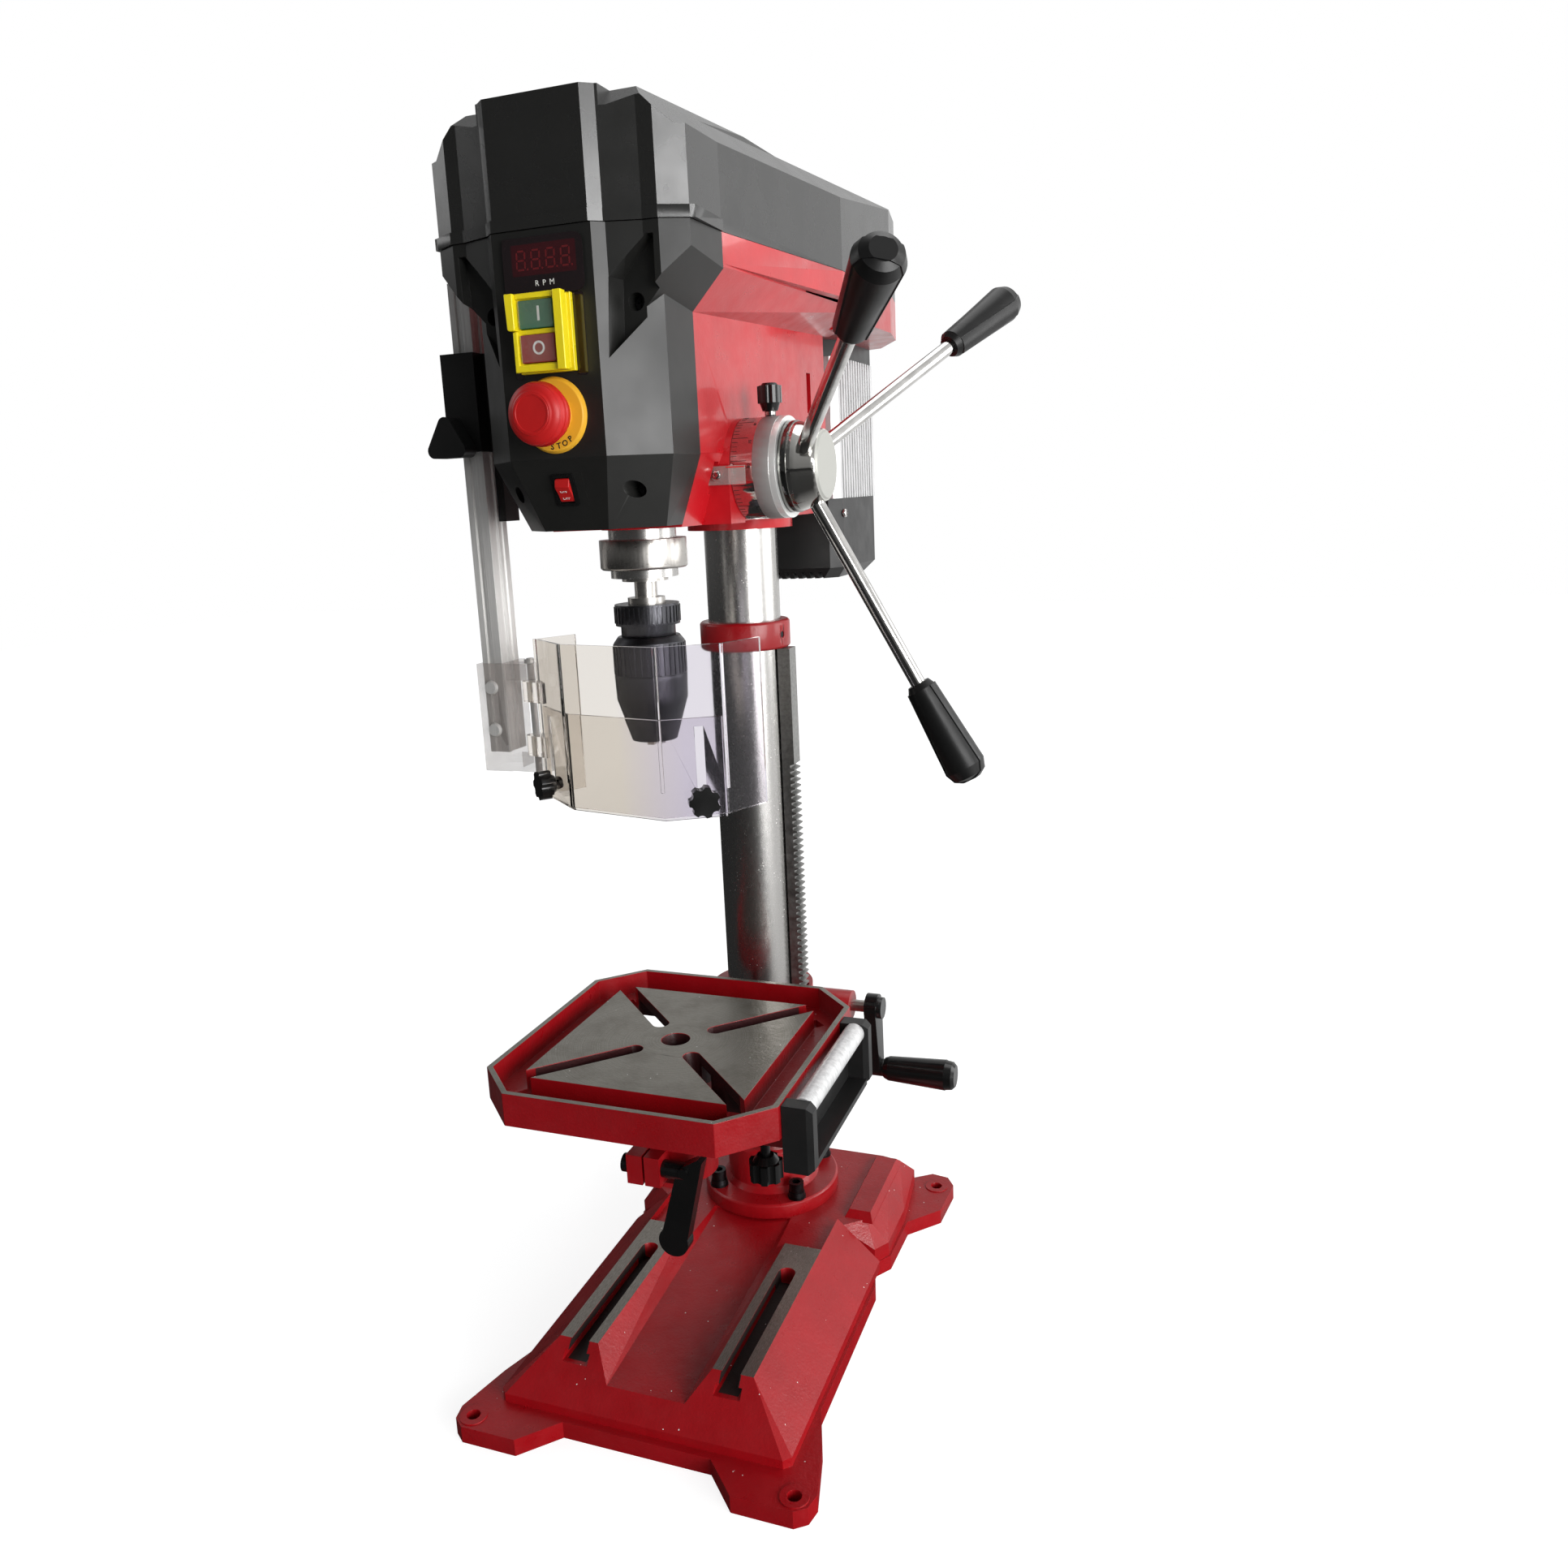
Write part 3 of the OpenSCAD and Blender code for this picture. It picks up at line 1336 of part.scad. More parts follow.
module hinge_bracket() color(clear) {
    difference() {
        union() {
            translate([-rail_x - rail_w / 2 - bracket_t, -rail_y - rail_t / 2 - bracket_t, 556])
                cube([rail_w + 2 * bracket_t, rail_t + 2 * bracket_t, 92]);
            for (z = [556, 634]) hull() {
                translate([pin_x, pin_y, z]) cylinder(h = 14, r = 8);
                translate([rail_left + rail_w + 1, pin_y - 6, z]) cube([2, 14, 14]);
            }
        }
        translate([0, 0, rail_z0]) rail_space(0);
        translate([pin_x, pin_y, 500]) cylinder(h = 200, r = 3);
        for (z = screw_zs) translate([-rail_x, 0, z]) rod_y(-260, -190, 3);
    }
}

module guard_screws() color(steel) {
    translate([pin_x, pin_y, 552]) cylinder(h = 100, r = 3);
    translate([pin_x, pin_y, 648]) cylinder(h = 3, r = 5);
    for (z = screw_zs) translate([-rail_x, 0, z]) {
        rod_y(rail_front - bracket_t, -rail_y + rail_t / 2 + bracket_t, 3);
        rod_y(rail_front - bracket_t - 3, rail_front - bracket_t, 5, 6);
    }
}

shield_path = [[-69, -213], [-88, -245], [-46, -281], [45, -300], [88, -275], [105, -237]];

// Normal of the path's segment i, pointing to the inside
function seg_n(p, i) = let (d = p[i + 1] - p[i]) [-d[1], d[0]] / norm(d);

// Point i of the path moved inwards by t, mitred at the corners
function inset_pt(p, i, t) = i == 0 ? p[0] + seg_n(p, 0) * t
    : i == len(p) - 1 ? p[i] + seg_n(p, i - 1) * t
    : let (a = seg_n(p, i - 1), b = seg_n(p, i)) p[i] + (a + b) * t / (1 + a * b);

function inset(p, t) = [for (i = [0 : len(p) - 1]) inset_pt(p, i, t)];

function strip(p, t0, t1) = let (q = inset(p, t1))
    concat(inset(p, t0), [for (i = [len(q) - 1 : -1 : 0]) q[i]]);

module on_side(i, t, z) {
    d = shield_path[i + 1] - shield_path[i];
    translate([shield_path[i][0] + d[0] * t, shield_path[i][1] + d[1] * t, z])
        rotate(atan2(d[1], d[0])) children();
}

module shield() color(clear) {
    difference() {
        union() {
            translate([0, 0, shield_z0]) linear_extrude(shield_z1 - shield_z0)
                polygon(strip(shield_path, 0, shield_t));
            for (z = [570.3, 616]) hull() {
                translate([pin_x, pin_y, z]) cylinder(h = 17, r = 8);
                translate([-85.5, -240, z]) cylinder(h = 17, r = 2);
            }
            for (i = [1 : 4]) translate([0, 0, shield_z0]) translate(shield_path[i])
                translate([0, 0, 20]) cylinder(h = shield_z1 - shield_z0 - 20, r = 1.5, $fn = 12);
        }
        translate([pin_x, pin_y, 500]) cylinder(h = 200, r = 3 + fit);
        for (k = slider_knobs) on_side(k[0], k[1], knob_at_z - 4) translate([-3.5, -10, 0]) cube([7, 20, 60]);
    }
}

slider_knobs = [[1, 0.36], [3, 0.6]];
slider_t0 = shield_t + gap;
knob_at_z = 553;

module shield_slider() color(clear) {
    difference() {
        translate([0, 0, shield_z0 - 3]) linear_extrude(78)
            polygon(concat([for (i = [1 : 4]) inset_pt(shield_path, i, slider_t0)],
                [for (i = [4 : -1 : 1]) inset_pt(shield_path, i, slider_t0 + shield_t)]));
        for (k = slider_knobs) on_side(k[0], k[1], knob_at_z) rod_y(-10, 20, 3 + fit);
    }
}

module shield_knob(k) {
    on_side(slider_knobs[k][0], slider_knobs[k][1], knob_at_z) {
        rod_y(-6, slider_t0 + shield_t + 4, 3);
        rotate([90, 0, 0]) translate([0, 0, 4]) lobed(12, 7, 10);
        rotate([90, 0, 0]) translate([0, 0, gap]) cylinder(h = 4, r1 = 7, r2 = 9);
        rod_y(slider_t0 + shield_t + gap, slider_t0 + shield_t + 4, 5.5, 4.5);
    }
}

module shield_knob_left() color(black) shield_knob(0);

module shield_knob_right() color(black) shield_knob(1);

base();
column_flange();
flange_bolts();
column();
rack_collar();
head_screws();
rack();
table_bracket();
lift_pinion();
crank_shaft();
crank_arm();
crank_grip();
column_lock_lever();
table_arm();
table_clamp_lever();
table();
roller_frame();
extension_rods();
roller();
roller_lock_knob();
head_casting();
front_panel();
display_window();
switch_box();
green_button();
red_button();
estop_base();
estop_mushroom();
rocker_bezel();
rocker();
motor_body();
motor_end_caps();
motor_pulley();
spindle_pulley();
belt();
belt_cover();
quill();
quill_collar();
quill_bearings();
spindle();
chuck_body();
chuck_sleeve();
chuck_jaws();
feed_shaft();
feed_hub();
feed_spokes();
feed_grips();
depth_ring();
depth_lock_knob();
pointer_plate();
return_spring_cap();
rail_clamp();
wing_knob();
guard_rail();
hinge_bracket();
guard_screws();
shield();
shield_slider();
shield_knob_left();
shield_knob_right();
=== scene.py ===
import math

import bpy
import bmesh
from mathutils import Matrix, Vector


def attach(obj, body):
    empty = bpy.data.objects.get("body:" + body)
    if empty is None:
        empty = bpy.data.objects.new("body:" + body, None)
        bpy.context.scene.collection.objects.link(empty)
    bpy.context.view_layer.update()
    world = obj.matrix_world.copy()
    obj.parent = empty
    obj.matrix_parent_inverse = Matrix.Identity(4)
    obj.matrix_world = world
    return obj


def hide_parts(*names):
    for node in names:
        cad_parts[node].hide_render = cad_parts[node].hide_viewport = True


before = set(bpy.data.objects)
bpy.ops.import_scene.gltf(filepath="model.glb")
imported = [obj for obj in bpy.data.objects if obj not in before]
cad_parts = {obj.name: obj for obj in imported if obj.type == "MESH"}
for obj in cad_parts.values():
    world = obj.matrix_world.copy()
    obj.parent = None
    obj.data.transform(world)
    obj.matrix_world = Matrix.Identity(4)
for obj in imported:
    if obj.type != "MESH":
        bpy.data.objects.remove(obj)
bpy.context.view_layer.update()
MM = 0.001

# Camera: the photograph's viewpoint, solved from the drill's own edges
CAM_AT = Vector((439.23, -1117.67, 777.95)) * MM
CAM_RIGHT = Vector((0.93615, 0.34848, -0.04670))
CAM_UP = Vector((-0.03161, 0.21572, 0.97594))
CAM_AHEAD = Vector((-0.35017, 0.91216, -0.21296))
CAM_SENSOR, CAM_LENS = 36, 28.371
CAM_SHIFT = (0.01452, -0.01435)

cam_data = bpy.data.cameras.new("camera")
cam_data.sensor_width = CAM_SENSOR
cam_data.lens = CAM_LENS
cam_data.shift_x, cam_data.shift_y = CAM_SHIFT
cam_data.clip_start, cam_data.clip_end = 0.05, 50
cam = bpy.data.objects.new("camera", cam_data)
bpy.context.scene.collection.objects.link(cam)
cam_turn = Matrix((CAM_RIGHT, CAM_UP, -CAM_AHEAD)).transposed().to_4x4()
cam.matrix_world = Matrix.Translation(CAM_AT) @ cam_turn
bpy.context.scene.camera = cam


# Materials

class Look:
    """A node material: one Principled shader and short calls for the nodes that feed it."""

    def __init__(self, name, color, rough, metal=0.0, **sockets):
        self.mat = bpy.data.materials.new(name)
        self.mat.use_nodes = True
        self.tree = self.mat.node_tree
        self.tree.nodes.clear()
        out = self.add("ShaderNodeOutputMaterial")
        self.bsdf = self.add("ShaderNodeBsdfPrincipled")
        self.tree.links.new(self.bsdf.outputs[0], out.inputs[0])
        self.set("Base Color", (*color, 1.0))
        self.set("Roughness", rough)
        self.set("Metallic", metal)
        for key, value in sockets.items():
            self.set(key.replace("_", " "), value)
        coordinates = self.add("ShaderNodeTexCoord").outputs
        self.place, self.facing = coordinates["Object"], coordinates["Normal"]

    def set(self, socket, value):
        self.put(self.bsdf.inputs[socket], value)

    def put(self, socket, value):
        if isinstance(value, bpy.types.NodeSocket):
            self.tree.links.new(value, socket)
        else:
            socket.default_value = value

    def fed(self, socket):
        """What feeds a socket of the shader so far."""
        return self.bsdf.inputs[socket].links[0].from_socket

    def add(self, kind, **props):
        node = self.tree.nodes.new(kind)
        for key, value in props.items():
            setattr(node, key, value)
        return node

    def math(self, op, a, b=0.0):
        node = self.add("ShaderNodeMath", operation=op)
        self.put(node.inputs[0], a)
        self.put(node.inputs[1], b)
        return node.outputs[0]

    def axis(self, vector, i):
        node = self.add("ShaderNodeSeparateXYZ")
        self.put(node.inputs[0], vector)
        return node.outputs[i]

    def length(self, vector):
        node = self.add("ShaderNodeVectorMath", operation="LENGTH")
        self.put(node.inputs[0], vector)
        return node.outputs["Value"]

    def scaled(self, sx, sy, sz, vector=None):
        node = self.add("ShaderNodeMapping")
        self.put(node.inputs["Vector"], vector or self.place)
        node.inputs["Scale"].default_value = (sx, sy, sz)
        return node.outputs[0]

    def noise(self, scale, detail=3.0, rough=0.5, vector=None):
        node = self.add("ShaderNodeTexNoise")
        self.put(node.inputs["Vector"], vector or self.place)
        node.inputs["Scale"].default_value = scale
        node.inputs["Detail"].default_value = detail
        node.inputs["Roughness"].default_value = rough
        return node.outputs["Fac"]

    def cells(self, scale):
        node = self.add("ShaderNodeTexVoronoi")
        self.put(node.inputs["Vector"], self.place)
        node.inputs["Scale"].default_value = scale
        return node.outputs["Distance"]

    def span(self, value, lo, hi, a=0.0, b=1.0):
        """value from lo..hi mapped to a..b and held there outside."""
        node = self.add("ShaderNodeMapRange")
        self.put(node.inputs["Value"], value)
        for key, number in zip(("From Min", "From Max", "To Min", "To Max"), (lo, hi, a, b)):
            self.put(node.inputs[key], number)
        return node.outputs["Result"]

    def mix(self, fac, a, b):
        node = self.add("ShaderNodeMix", data_type="RGBA")
        self.put(node.inputs["Factor"], fac)
        for i, color in ((6, a), (7, b)):
            is_socket = isinstance(color, bpy.types.NodeSocket)
            self.put(node.inputs[i], color if is_socket else (*color, 1.0))
        return node.outputs[2]

    def blend(self, fac, a, b):
        node = self.add("ShaderNodeMix", data_type="FLOAT")
        self.put(node.inputs["Factor"], fac)
        self.put(node.inputs[2], a)
        self.put(node.inputs[3], b)
        return node.outputs[0]

    def bump(self, height, strength, distance):
        node = self.add("ShaderNodeBump")
        self.put(node.inputs["Height"], height)
        node.inputs["Strength"].default_value = strength
        node.inputs["Distance"].default_value = distance
        self.set("Normal", node.outputs[0])

    def wander(self, noise, lo, hi):
        """A number that goes from lo to hi over the noise's middle values."""
        return self.span(noise, 0.3, 0.7, lo, hi)


RED = (0.50, 0.006, 0.012)
DEEP_RED = (0.40, 0.004, 0.008)
CHIP = (0.8, 0.78, 0.76)

# Where bare metal lies, and the boxes where slots are darkened as painted shade, in millimetres
PADS_Z = (61.8, 62.3)
TABLE_TOP_Z = (315.6, 316.4)
TABLE_RIM_Z = (318.9, 319.6)
PAD_SLOT_SHADE = ((62, -305, 0), (80, -152, 61.7))
TABLE_SLOT_SHADE = ((-92, -306, 288), (92, -121, 315.4))
SPINDLE_Y = -213.6


def dimmed(color, by):
    return tuple(c * by for c in color)


def paint(name, texture, painted_shade=1.0, coat=0.35, shine=0.5):
    """Gloss paint over cast iron: texture is how strongly the casting shows through. The third
    argument dims the red as painted shade, for parts in less light.
    """
    look = Look(name, RED, 0.34, Coat_Weight=coat, Coat_Roughness=0.1, Specular_IOR_Level=shine)
    cloud = look.span(look.noise(14, 4, 0.6), 0.35, 0.7)
    look.set("Base Color", look.mix(cloud, dimmed(RED, painted_shade), dimmed(DEEP_RED, painted_shade)))
    look.set("Roughness", look.wander(look.noise(60), 0.26, 0.42))
    swell = look.math("MULTIPLY", look.noise(90), 1.6)
    look.bump(look.math("ADD", look.noise(420, 2), swell), texture, 0.0006)
    return look


def cover_with(look, mask, color, rough):
    """Where mask is 1, color and rough replace what is there."""
    look.set("Base Color", look.mix(mask, look.fed("Base Color"), color))
    look.set("Roughness", look.blend(mask, look.fed("Roughness"), rough))


def bare(look, mask, color, rough):
    """Where mask is 1 the paint is machined off and metal shows."""
    cover_with(look, mask, color, rough)
    look.set("Metallic", mask)


def facing_up(look, least):
    return look.math("GREATER_THAN", look.axis(look.facing, 2), least)


def between(look, value, lo, hi):
    """1 where value lies between two places, in millimetres."""
    return look.math("MULTIPLY", look.math("GREATER_THAN", value, lo * MM),
                     look.math("LESS_THAN", value, hi * MM))


def up_at(look, z_lo, z_hi):
    """1 on faces that look up between two heights."""
    height = look.axis(look.place, 2)
    return look.math("MULTIPLY", facing_up(look, 0.9), between(look, height, z_lo, z_hi))


def within(look, lo, hi, mirrored=False):
    """1 inside a box; mirrored also on its other side of X."""
    inside = 1.0
    for i in range(3):
        at = look.axis(look.place, i)
        if i == 0 and mirrored:
            at = look.math("ABSOLUTE", at)
        inside = look.math("MULTIPLY", between(look, at, lo[i], hi[i]), inside)
    return inside


def chips(look, scale):
    """Small bright metal chips lying on what faces up."""
    dot = look.math("LESS_THAN", look.cells(scale), 0.09)
    some = look.math("GREATER_THAN", look.noise(scale * 0.35, 2), 0.6)
    lying = look.math("MULTIPLY", look.math("MULTIPLY", dot, some), facing_up(look, 0.3))
    look.set("Base Color", look.mix(lying, look.fed("Base Color"), CHIP))


def steel(name, color, rough, streak=(1, 1, 1), grain=900, depth=0.15, metal=1.0, spread=0.08,
          tarnish=0.72):
    """Worked metal: streak stretches the grain along one axis."""
    look = Look(name, color, rough, metal)
    line = look.noise(grain, 3, 0.6, look.scaled(*streak))
    look.set("Base Color", look.mix(look.span(line, 0.35, 0.68), color, dimmed(color, tarnish)))
    wear = look.noise(grain * 0.3, 2, 0.5, look.scaled(*streak))
    look.set("Roughness", look.wander(wear, rough - spread, rough + spread))
    look.bump(line, depth, 0.0002)
    return look


def plastic(name, color, rough, grain=1500, depth=0.05, coat=0.0, spread=0.06, worn=1.35,
            shine=0.5):
    """Moulded plastic, paler by worn in patches; rubber and print too."""
    look = Look(name, color, rough, Coat_Weight=coat, Coat_Roughness=0.08,
                Specular_IOR_Level=shine)
    light = tuple(min(1.0, c * worn) for c in color)
    patch = look.span(look.noise(22, 4, 0.6), 0.4, 0.75)
    look.set("Base Color", look.mix(patch, color, light))
    look.set("Roughness", look.wander(look.noise(40), rough - spread, rough + spread))
    look.bump(look.noise(grain, 2, 0.6), depth, 0.0002)
    return look


def banded(name, color, rough, bands):
    """Turned metal whose finish changes along X, each band from its own X in millimetres on."""
    look = steel(name, color, rough, (1, 1, 1), 1200, 0.06, spread=0.03)
    metal = 1.0
    for start, band_color, band_rough, band_metal in bands:
        mask = look.math("GREATER_THAN", look.axis(look.place, 0), start * MM)
        cover_with(look, mask, band_color, band_rough)
        metal = look.blend(mask, metal, band_metal)
    look.set("Metallic", metal)
    return look


def see_through(look, scale, least, most):
    """Lets most of the light through, unevenly: least and most are how solid it is."""
    look.set("Alpha", look.wander(look.noise(scale), least, most))
    return look


def clear_look(name, tint, edge, rough):
    """Clear moulded plastic whose tint goes over to edge on its +X side."""
    look = Look(name, tint, rough, Transmission_Weight=1.0, IOR=1.25)
    side = look.span(look.axis(look.place, 0), 0.005, 0.06)
    look.set("Base Color", look.mix(side, tint, edge))
    look.set("Roughness", look.wander(look.noise(30), rough * 0.5, rough * 1.6))
    look.bump(look.noise(25, 2), 0.05, 0.0004)
    return look


# The base's red is dimmed to 0.72: painted shade for its place near the floor
base_look = paint("base_paint", 0.35, 0.72, 0.08, 0.35)
scratch = base_look.noise(160, 4, 0.7, base_look.scaled(9, 1, 1))
bare(base_look, up_at(base_look, *PADS_Z),
     base_look.mix(base_look.span(scratch, 0.35, 0.7), (0.27, 0.25, 0.225), (0.16, 0.145, 0.125)),
     base_look.wander(scratch, 0.32, 0.55))
# The slots beside the pads go near black: painted shade in the deep slots
cover_with(base_look, within(base_look, *PAD_SLOT_SHADE, mirrored=True), (0.012, 0.006, 0.005), 0.6)
chips(base_look, 150)

# The table's top is turned: its grain runs in rings about the spindle
# The table's red is dimmed to 0.62: painted shade for its place low down
table_look = paint("table_paint", 0.3, 0.62, 0.1, 0.4)
centred = table_look.add("ShaderNodeMapping")
table_look.put(centred.inputs["Vector"], table_look.place)
centred.inputs["Location"].default_value = (0, -SPINDLE_Y * MM, 0)
ring_at = table_look.add("ShaderNodeCombineXYZ")
table_look.put(ring_at.inputs[0],
               table_look.length(table_look.scaled(1, 1, 0, centred.outputs[0])))
turned = table_look.noise(1500, 3, 0.75, ring_at.outputs[0])
stain = table_look.span(table_look.noise(28, 5, 0.65), 0.45, 0.75)
iron = table_look.mix(table_look.span(turned, 0.35, 0.65), (0.34, 0.325, 0.29),
                      (0.17, 0.16, 0.135))
bare(table_look,
     table_look.math("MAXIMUM", up_at(table_look, *TABLE_TOP_Z), up_at(table_look, *TABLE_RIM_Z)),
     table_look.mix(stain, iron, (0.17, 0.155, 0.13)),
     table_look.wander(turned, 0.3, 0.45))
# The table's slots go near black red: painted shade inside them
cover_with(table_look, within(table_look, *TABLE_SLOT_SHADE), (0.035, 0.003, 0.004), 0.5)
chips(table_look, 170)

column_look = steel("column_steel", (0.50, 0.49, 0.475), 0.26, (1, 1, 0.4), 1400, 0.02,
                    spread=0.02, tarnish=0.92)
speck = column_look.math("MULTIPLY",
                         column_look.math("LESS_THAN", column_look.cells(260), 0.13),
                         column_look.math("GREATER_THAN", column_look.noise(45), 0.58))
cover_with(column_look, speck, (0.85, 0.83, 0.80), 0.5)

looks = {
    "base": base_look,
    "table": table_look,
    "column": column_look,
    "casting": paint("casting_paint", 0.16),
    # The lower castings' red is dimmed to 0.66: painted shade for their place low down
    "low_casting": paint("low_casting_paint", 0.2, 0.66, 0.12, 0.4),
    "rack": steel("rack_steel", (0.34, 0.34, 0.33), 0.42, (1, 1, 1), 350, 0.3),
    "machined": steel("machined_steel", (0.52, 0.50, 0.47), 0.3, (1, 1, 3), 900, 0.04,
                      spread=0.03, tarnish=0.85),
    "chrome": steel("chrome", (0.66, 0.65, 0.63), 0.12, (1, 1, 1), 60, 0.02, spread=0.03),
    "dark_steel": steel("black_steel", (0.062, 0.062, 0.068), 0.36, (1, 1, 1), 1600, 0.25),
    "bolt": steel("bolt_steel", (0.03, 0.03, 0.032), 0.4, (1, 1, 1), 500, 0.2),
    "ring": banded("ring_bands", (0.62, 0.60, 0.58), 0.14, (
        (97.2, (0.34, 0.33, 0.32), 0.5, 0.4), (110.4, (0.86, 0.86, 0.84), 0.3, 0.6))),
    "hub": banded("hub_chrome", (0.22, 0.22, 0.21), 0.14, (
        (122.5, (0.58, 0.57, 0.54), 0.1, 1.0), (143.2, (0.42, 0.42, 0.39), 0.5, 0.3))),
    "alloy": steel("motor_alloy", (0.80, 0.80, 0.80), 0.42, (1, 1, 0.1), 300, 0.1, metal=0.55),
    "rail": steel("rail_alloy", (0.68, 0.67, 0.65), 0.42, (1, 1, 0.02), 900, 0.05, metal=0.3,
                  tarnish=0.85),
    "cover": plastic("cover_moulding", (0.011, 0.011, 0.0102), 0.27, 2200, 0.06, coat=0.1,
                     spread=0.03, worn=1.2, shine=0.7),
    "panel": plastic("panel_moulding", (0.012, 0.012, 0.0112), 0.36, 2200, 0.06, spread=0.03,
                     worn=1.2, shine=0.38),
    "black": plastic("black_moulding", (0.010, 0.010, 0.010), 0.4, 1700, 0.15, shine=0.35),
    "grip": plastic("grip_moulding", (0.007, 0.007, 0.007), 0.36, 1700, 0.1, shine=0.3),
    "gloss": plastic("black_gloss", (0.005, 0.005, 0.005), 0.22, 600, 0.04, coat=0.1,
                     shine=0.35),
    "yellow": plastic("yellow_plastic", (0.86, 0.70, 0.01), 0.3, depth=0.06, coat=0.2,
                      worn=0.85),
    "amber": plastic("yellow_disc", (0.80, 0.42, 0.03), 0.4, depth=0.06, worn=0.9, shine=0.3),
    "green": plastic("green_plastic", (0.018, 0.13, 0.07), 0.3, coat=0.3),
    "maroon": plastic("dark_red_plastic", (0.25, 0.012, 0.014), 0.3, coat=0.3),
    "scarlet": plastic("red_plastic", (0.62, 0.012, 0.012), 0.32, coat=0.1),
    "deep_scarlet": plastic("stop_red", (0.50, 0.010, 0.010), 0.36, worn=0.85, shine=0.35),
    # Pale red for the stop button's bumps: a painted highlight on them
    "painted_glint": plastic("painted_glint_red", (0.80, 0.16, 0.13), 0.3, coat=0.2, worn=0.85),
    "window": plastic("display_dark", (0.008, 0.004, 0.005), 0.12, 60, 0.01, coat=0.5),
    "filter": plastic("display_red", (0.030, 0.003, 0.005), 0.12, 60, 0.01, coat=0.3),
    "belt": plastic("belt_rubber", (0.02, 0.02, 0.02), 0.7, 900, 0.3),
    "white_print": plastic("white_print", (0.75, 0.75, 0.73), 0.5, 900, worn=0.92),
    "black_print": plastic("black_print", (0.012, 0.012, 0.012), 0.5, 900),
    "digit": plastic("digit_red", (0.10, 0.008, 0.010), 0.3, 900, 0.03),
    "lens": see_through(plastic("button_lens", (0.35, 0.33, 0.28), 0.12, 200, 0.02, coat=0.4),
                        60, 0.07, 0.14),
    "clear": see_through(plastic("clear_plate", (0.55, 0.50, 0.47), 0.15, 300, 0.03, coat=0.3,
                                 worn=1.1), 20, 0.26, 0.4),
    "shield": clear_look("clear_shield", (0.80, 0.765, 0.72), (0.76, 0.73, 0.79), 0.05),
}

# Each look and the nodes of the part that wear it
WEARERS = {
    "base": ("base",),
    "casting": ("head_casting",),
    "low_casting": ("column_flange", "rack_collar", "table_bracket", "table_arm"),
    "table": ("table",),
    "column": ("column", "quill"),
    "rack": ("rack",),
    "machined": ("lift_pinion", "crank_shaft", "motor_pulley", "spindle_pulley",
                 "quill_collar", "quill_bearings", "spindle", "chuck_jaws", "feed_shaft"),
    "chrome": ("extension_rods", "feed_spokes"),
    "dark_steel": ("chuck_body", "chuck_sleeve"),
    "bolt": ("flange_bolts", "head_screws"),
    "ring": ("depth_ring",),
    "hub": ("feed_hub",),
    "alloy": ("roller", "motor_body"),
    "rail": ("guard_rail", "guard_screws"),
    "cover": ("belt_cover",),
    "panel": ("front_panel",),
    "black": ("roller_frame", "motor_end_caps", "return_spring_cap", "rail_clamp", "wing_knob"),
    "grip": ("feed_grips",),
    "gloss": ("crank_arm", "crank_grip", "column_lock_lever", "table_clamp_lever",
              "roller_lock_knob", "rocker_bezel", "depth_lock_knob", "shield_knob_left",
              "shield_knob_right"),
    "yellow": ("switch_box",),
    "amber": ("estop_base",),
    "green": ("green_button",),
    "maroon": ("red_button",),
    "scarlet": ("rocker",),
    "deep_scarlet": ("estop_mushroom",),
    "window": ("display_window",),
    "belt": ("belt",),
    "clear": ("pointer_plate", "hinge_bracket"),
    "shield": ("shield", "shield_slider"),
}
for look_name, node_names in WEARERS.items():
    for node_name in node_names:
        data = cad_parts[node_name].data
        data.materials.clear()
        data.materials.append(looks[look_name].mat)

# Edges broken as moulding, casting and machining leave them: the nodes by width in millimetres
SOFT_EDGES = {
    1.3: ("front_panel", "belt_cover"),
    1.0: ("head_casting", "base", "table", "table_bracket", "table_arm"),
    0.7: ("column_flange", "rack_collar", "roller_frame", "motor_end_caps", "rail_clamp",
          "wing_knob", "crank_arm", "switch_box", "estop_base"),
    0.4: ("feed_hub", "depth_ring", "quill_collar", "chuck_body", "chuck_sleeve",
          "green_button", "red_button", "guard_rail", "shield", "shield_slider",
          "hinge_bracket"),
}


def soften(obj, width, segments=2):
    edge = obj.modifiers.new("edge", "BEVEL")
    edge.width = width * MM
    edge.segments = segments
    return edge


for width, node_names in SOFT_EDGES.items():
    for node_name in node_names:
        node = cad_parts[node_name]
        weld = node.modifiers.new("weld", "WELD")
        weld.merge_threshold = 0.02 * MM
        edge = soften(node, width)
        edge.limit_method = "ANGLE"
        edge.angle_limit = math.radians(20)
        edge.harden_normals = True
        edge.use_clamp_overlap = True


# Detail pieces, each riding on the body of the part that carries it

def added(name, bm, look, body, smooth=True):
    """The piece made of bm, whose points are in millimetres."""
    bmesh.ops.scale(bm, vec=(MM, MM, MM), verts=bm.verts)
    bmesh.ops.recalc_face_normals(bm, faces=bm.faces)
    mesh = bpy.data.meshes.new(name)
    bm.to_mesh(mesh)
    bm.free()
    mesh.materials.append(looks[look].mat)
    if smooth:
        mesh.shade_smooth()
        mesh.set_sharp_from_angle(angle=math.radians(35))
    obj = bpy.data.objects.new(name, mesh)
    bpy.context.scene.collection.objects.link(obj)
    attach(obj, body)
    return obj


def about(axis, degrees):
    return Matrix.Rotation(math.radians(degrees), 4, axis)


def place(x=0, y=0, z=0, turn=None):
    move = Matrix.Translation((x, y, z))
    return move @ turn if turn is not None else move


# Turns a drawing's up to the part's up, and its height towards the front
FRONT = about("X", 90)


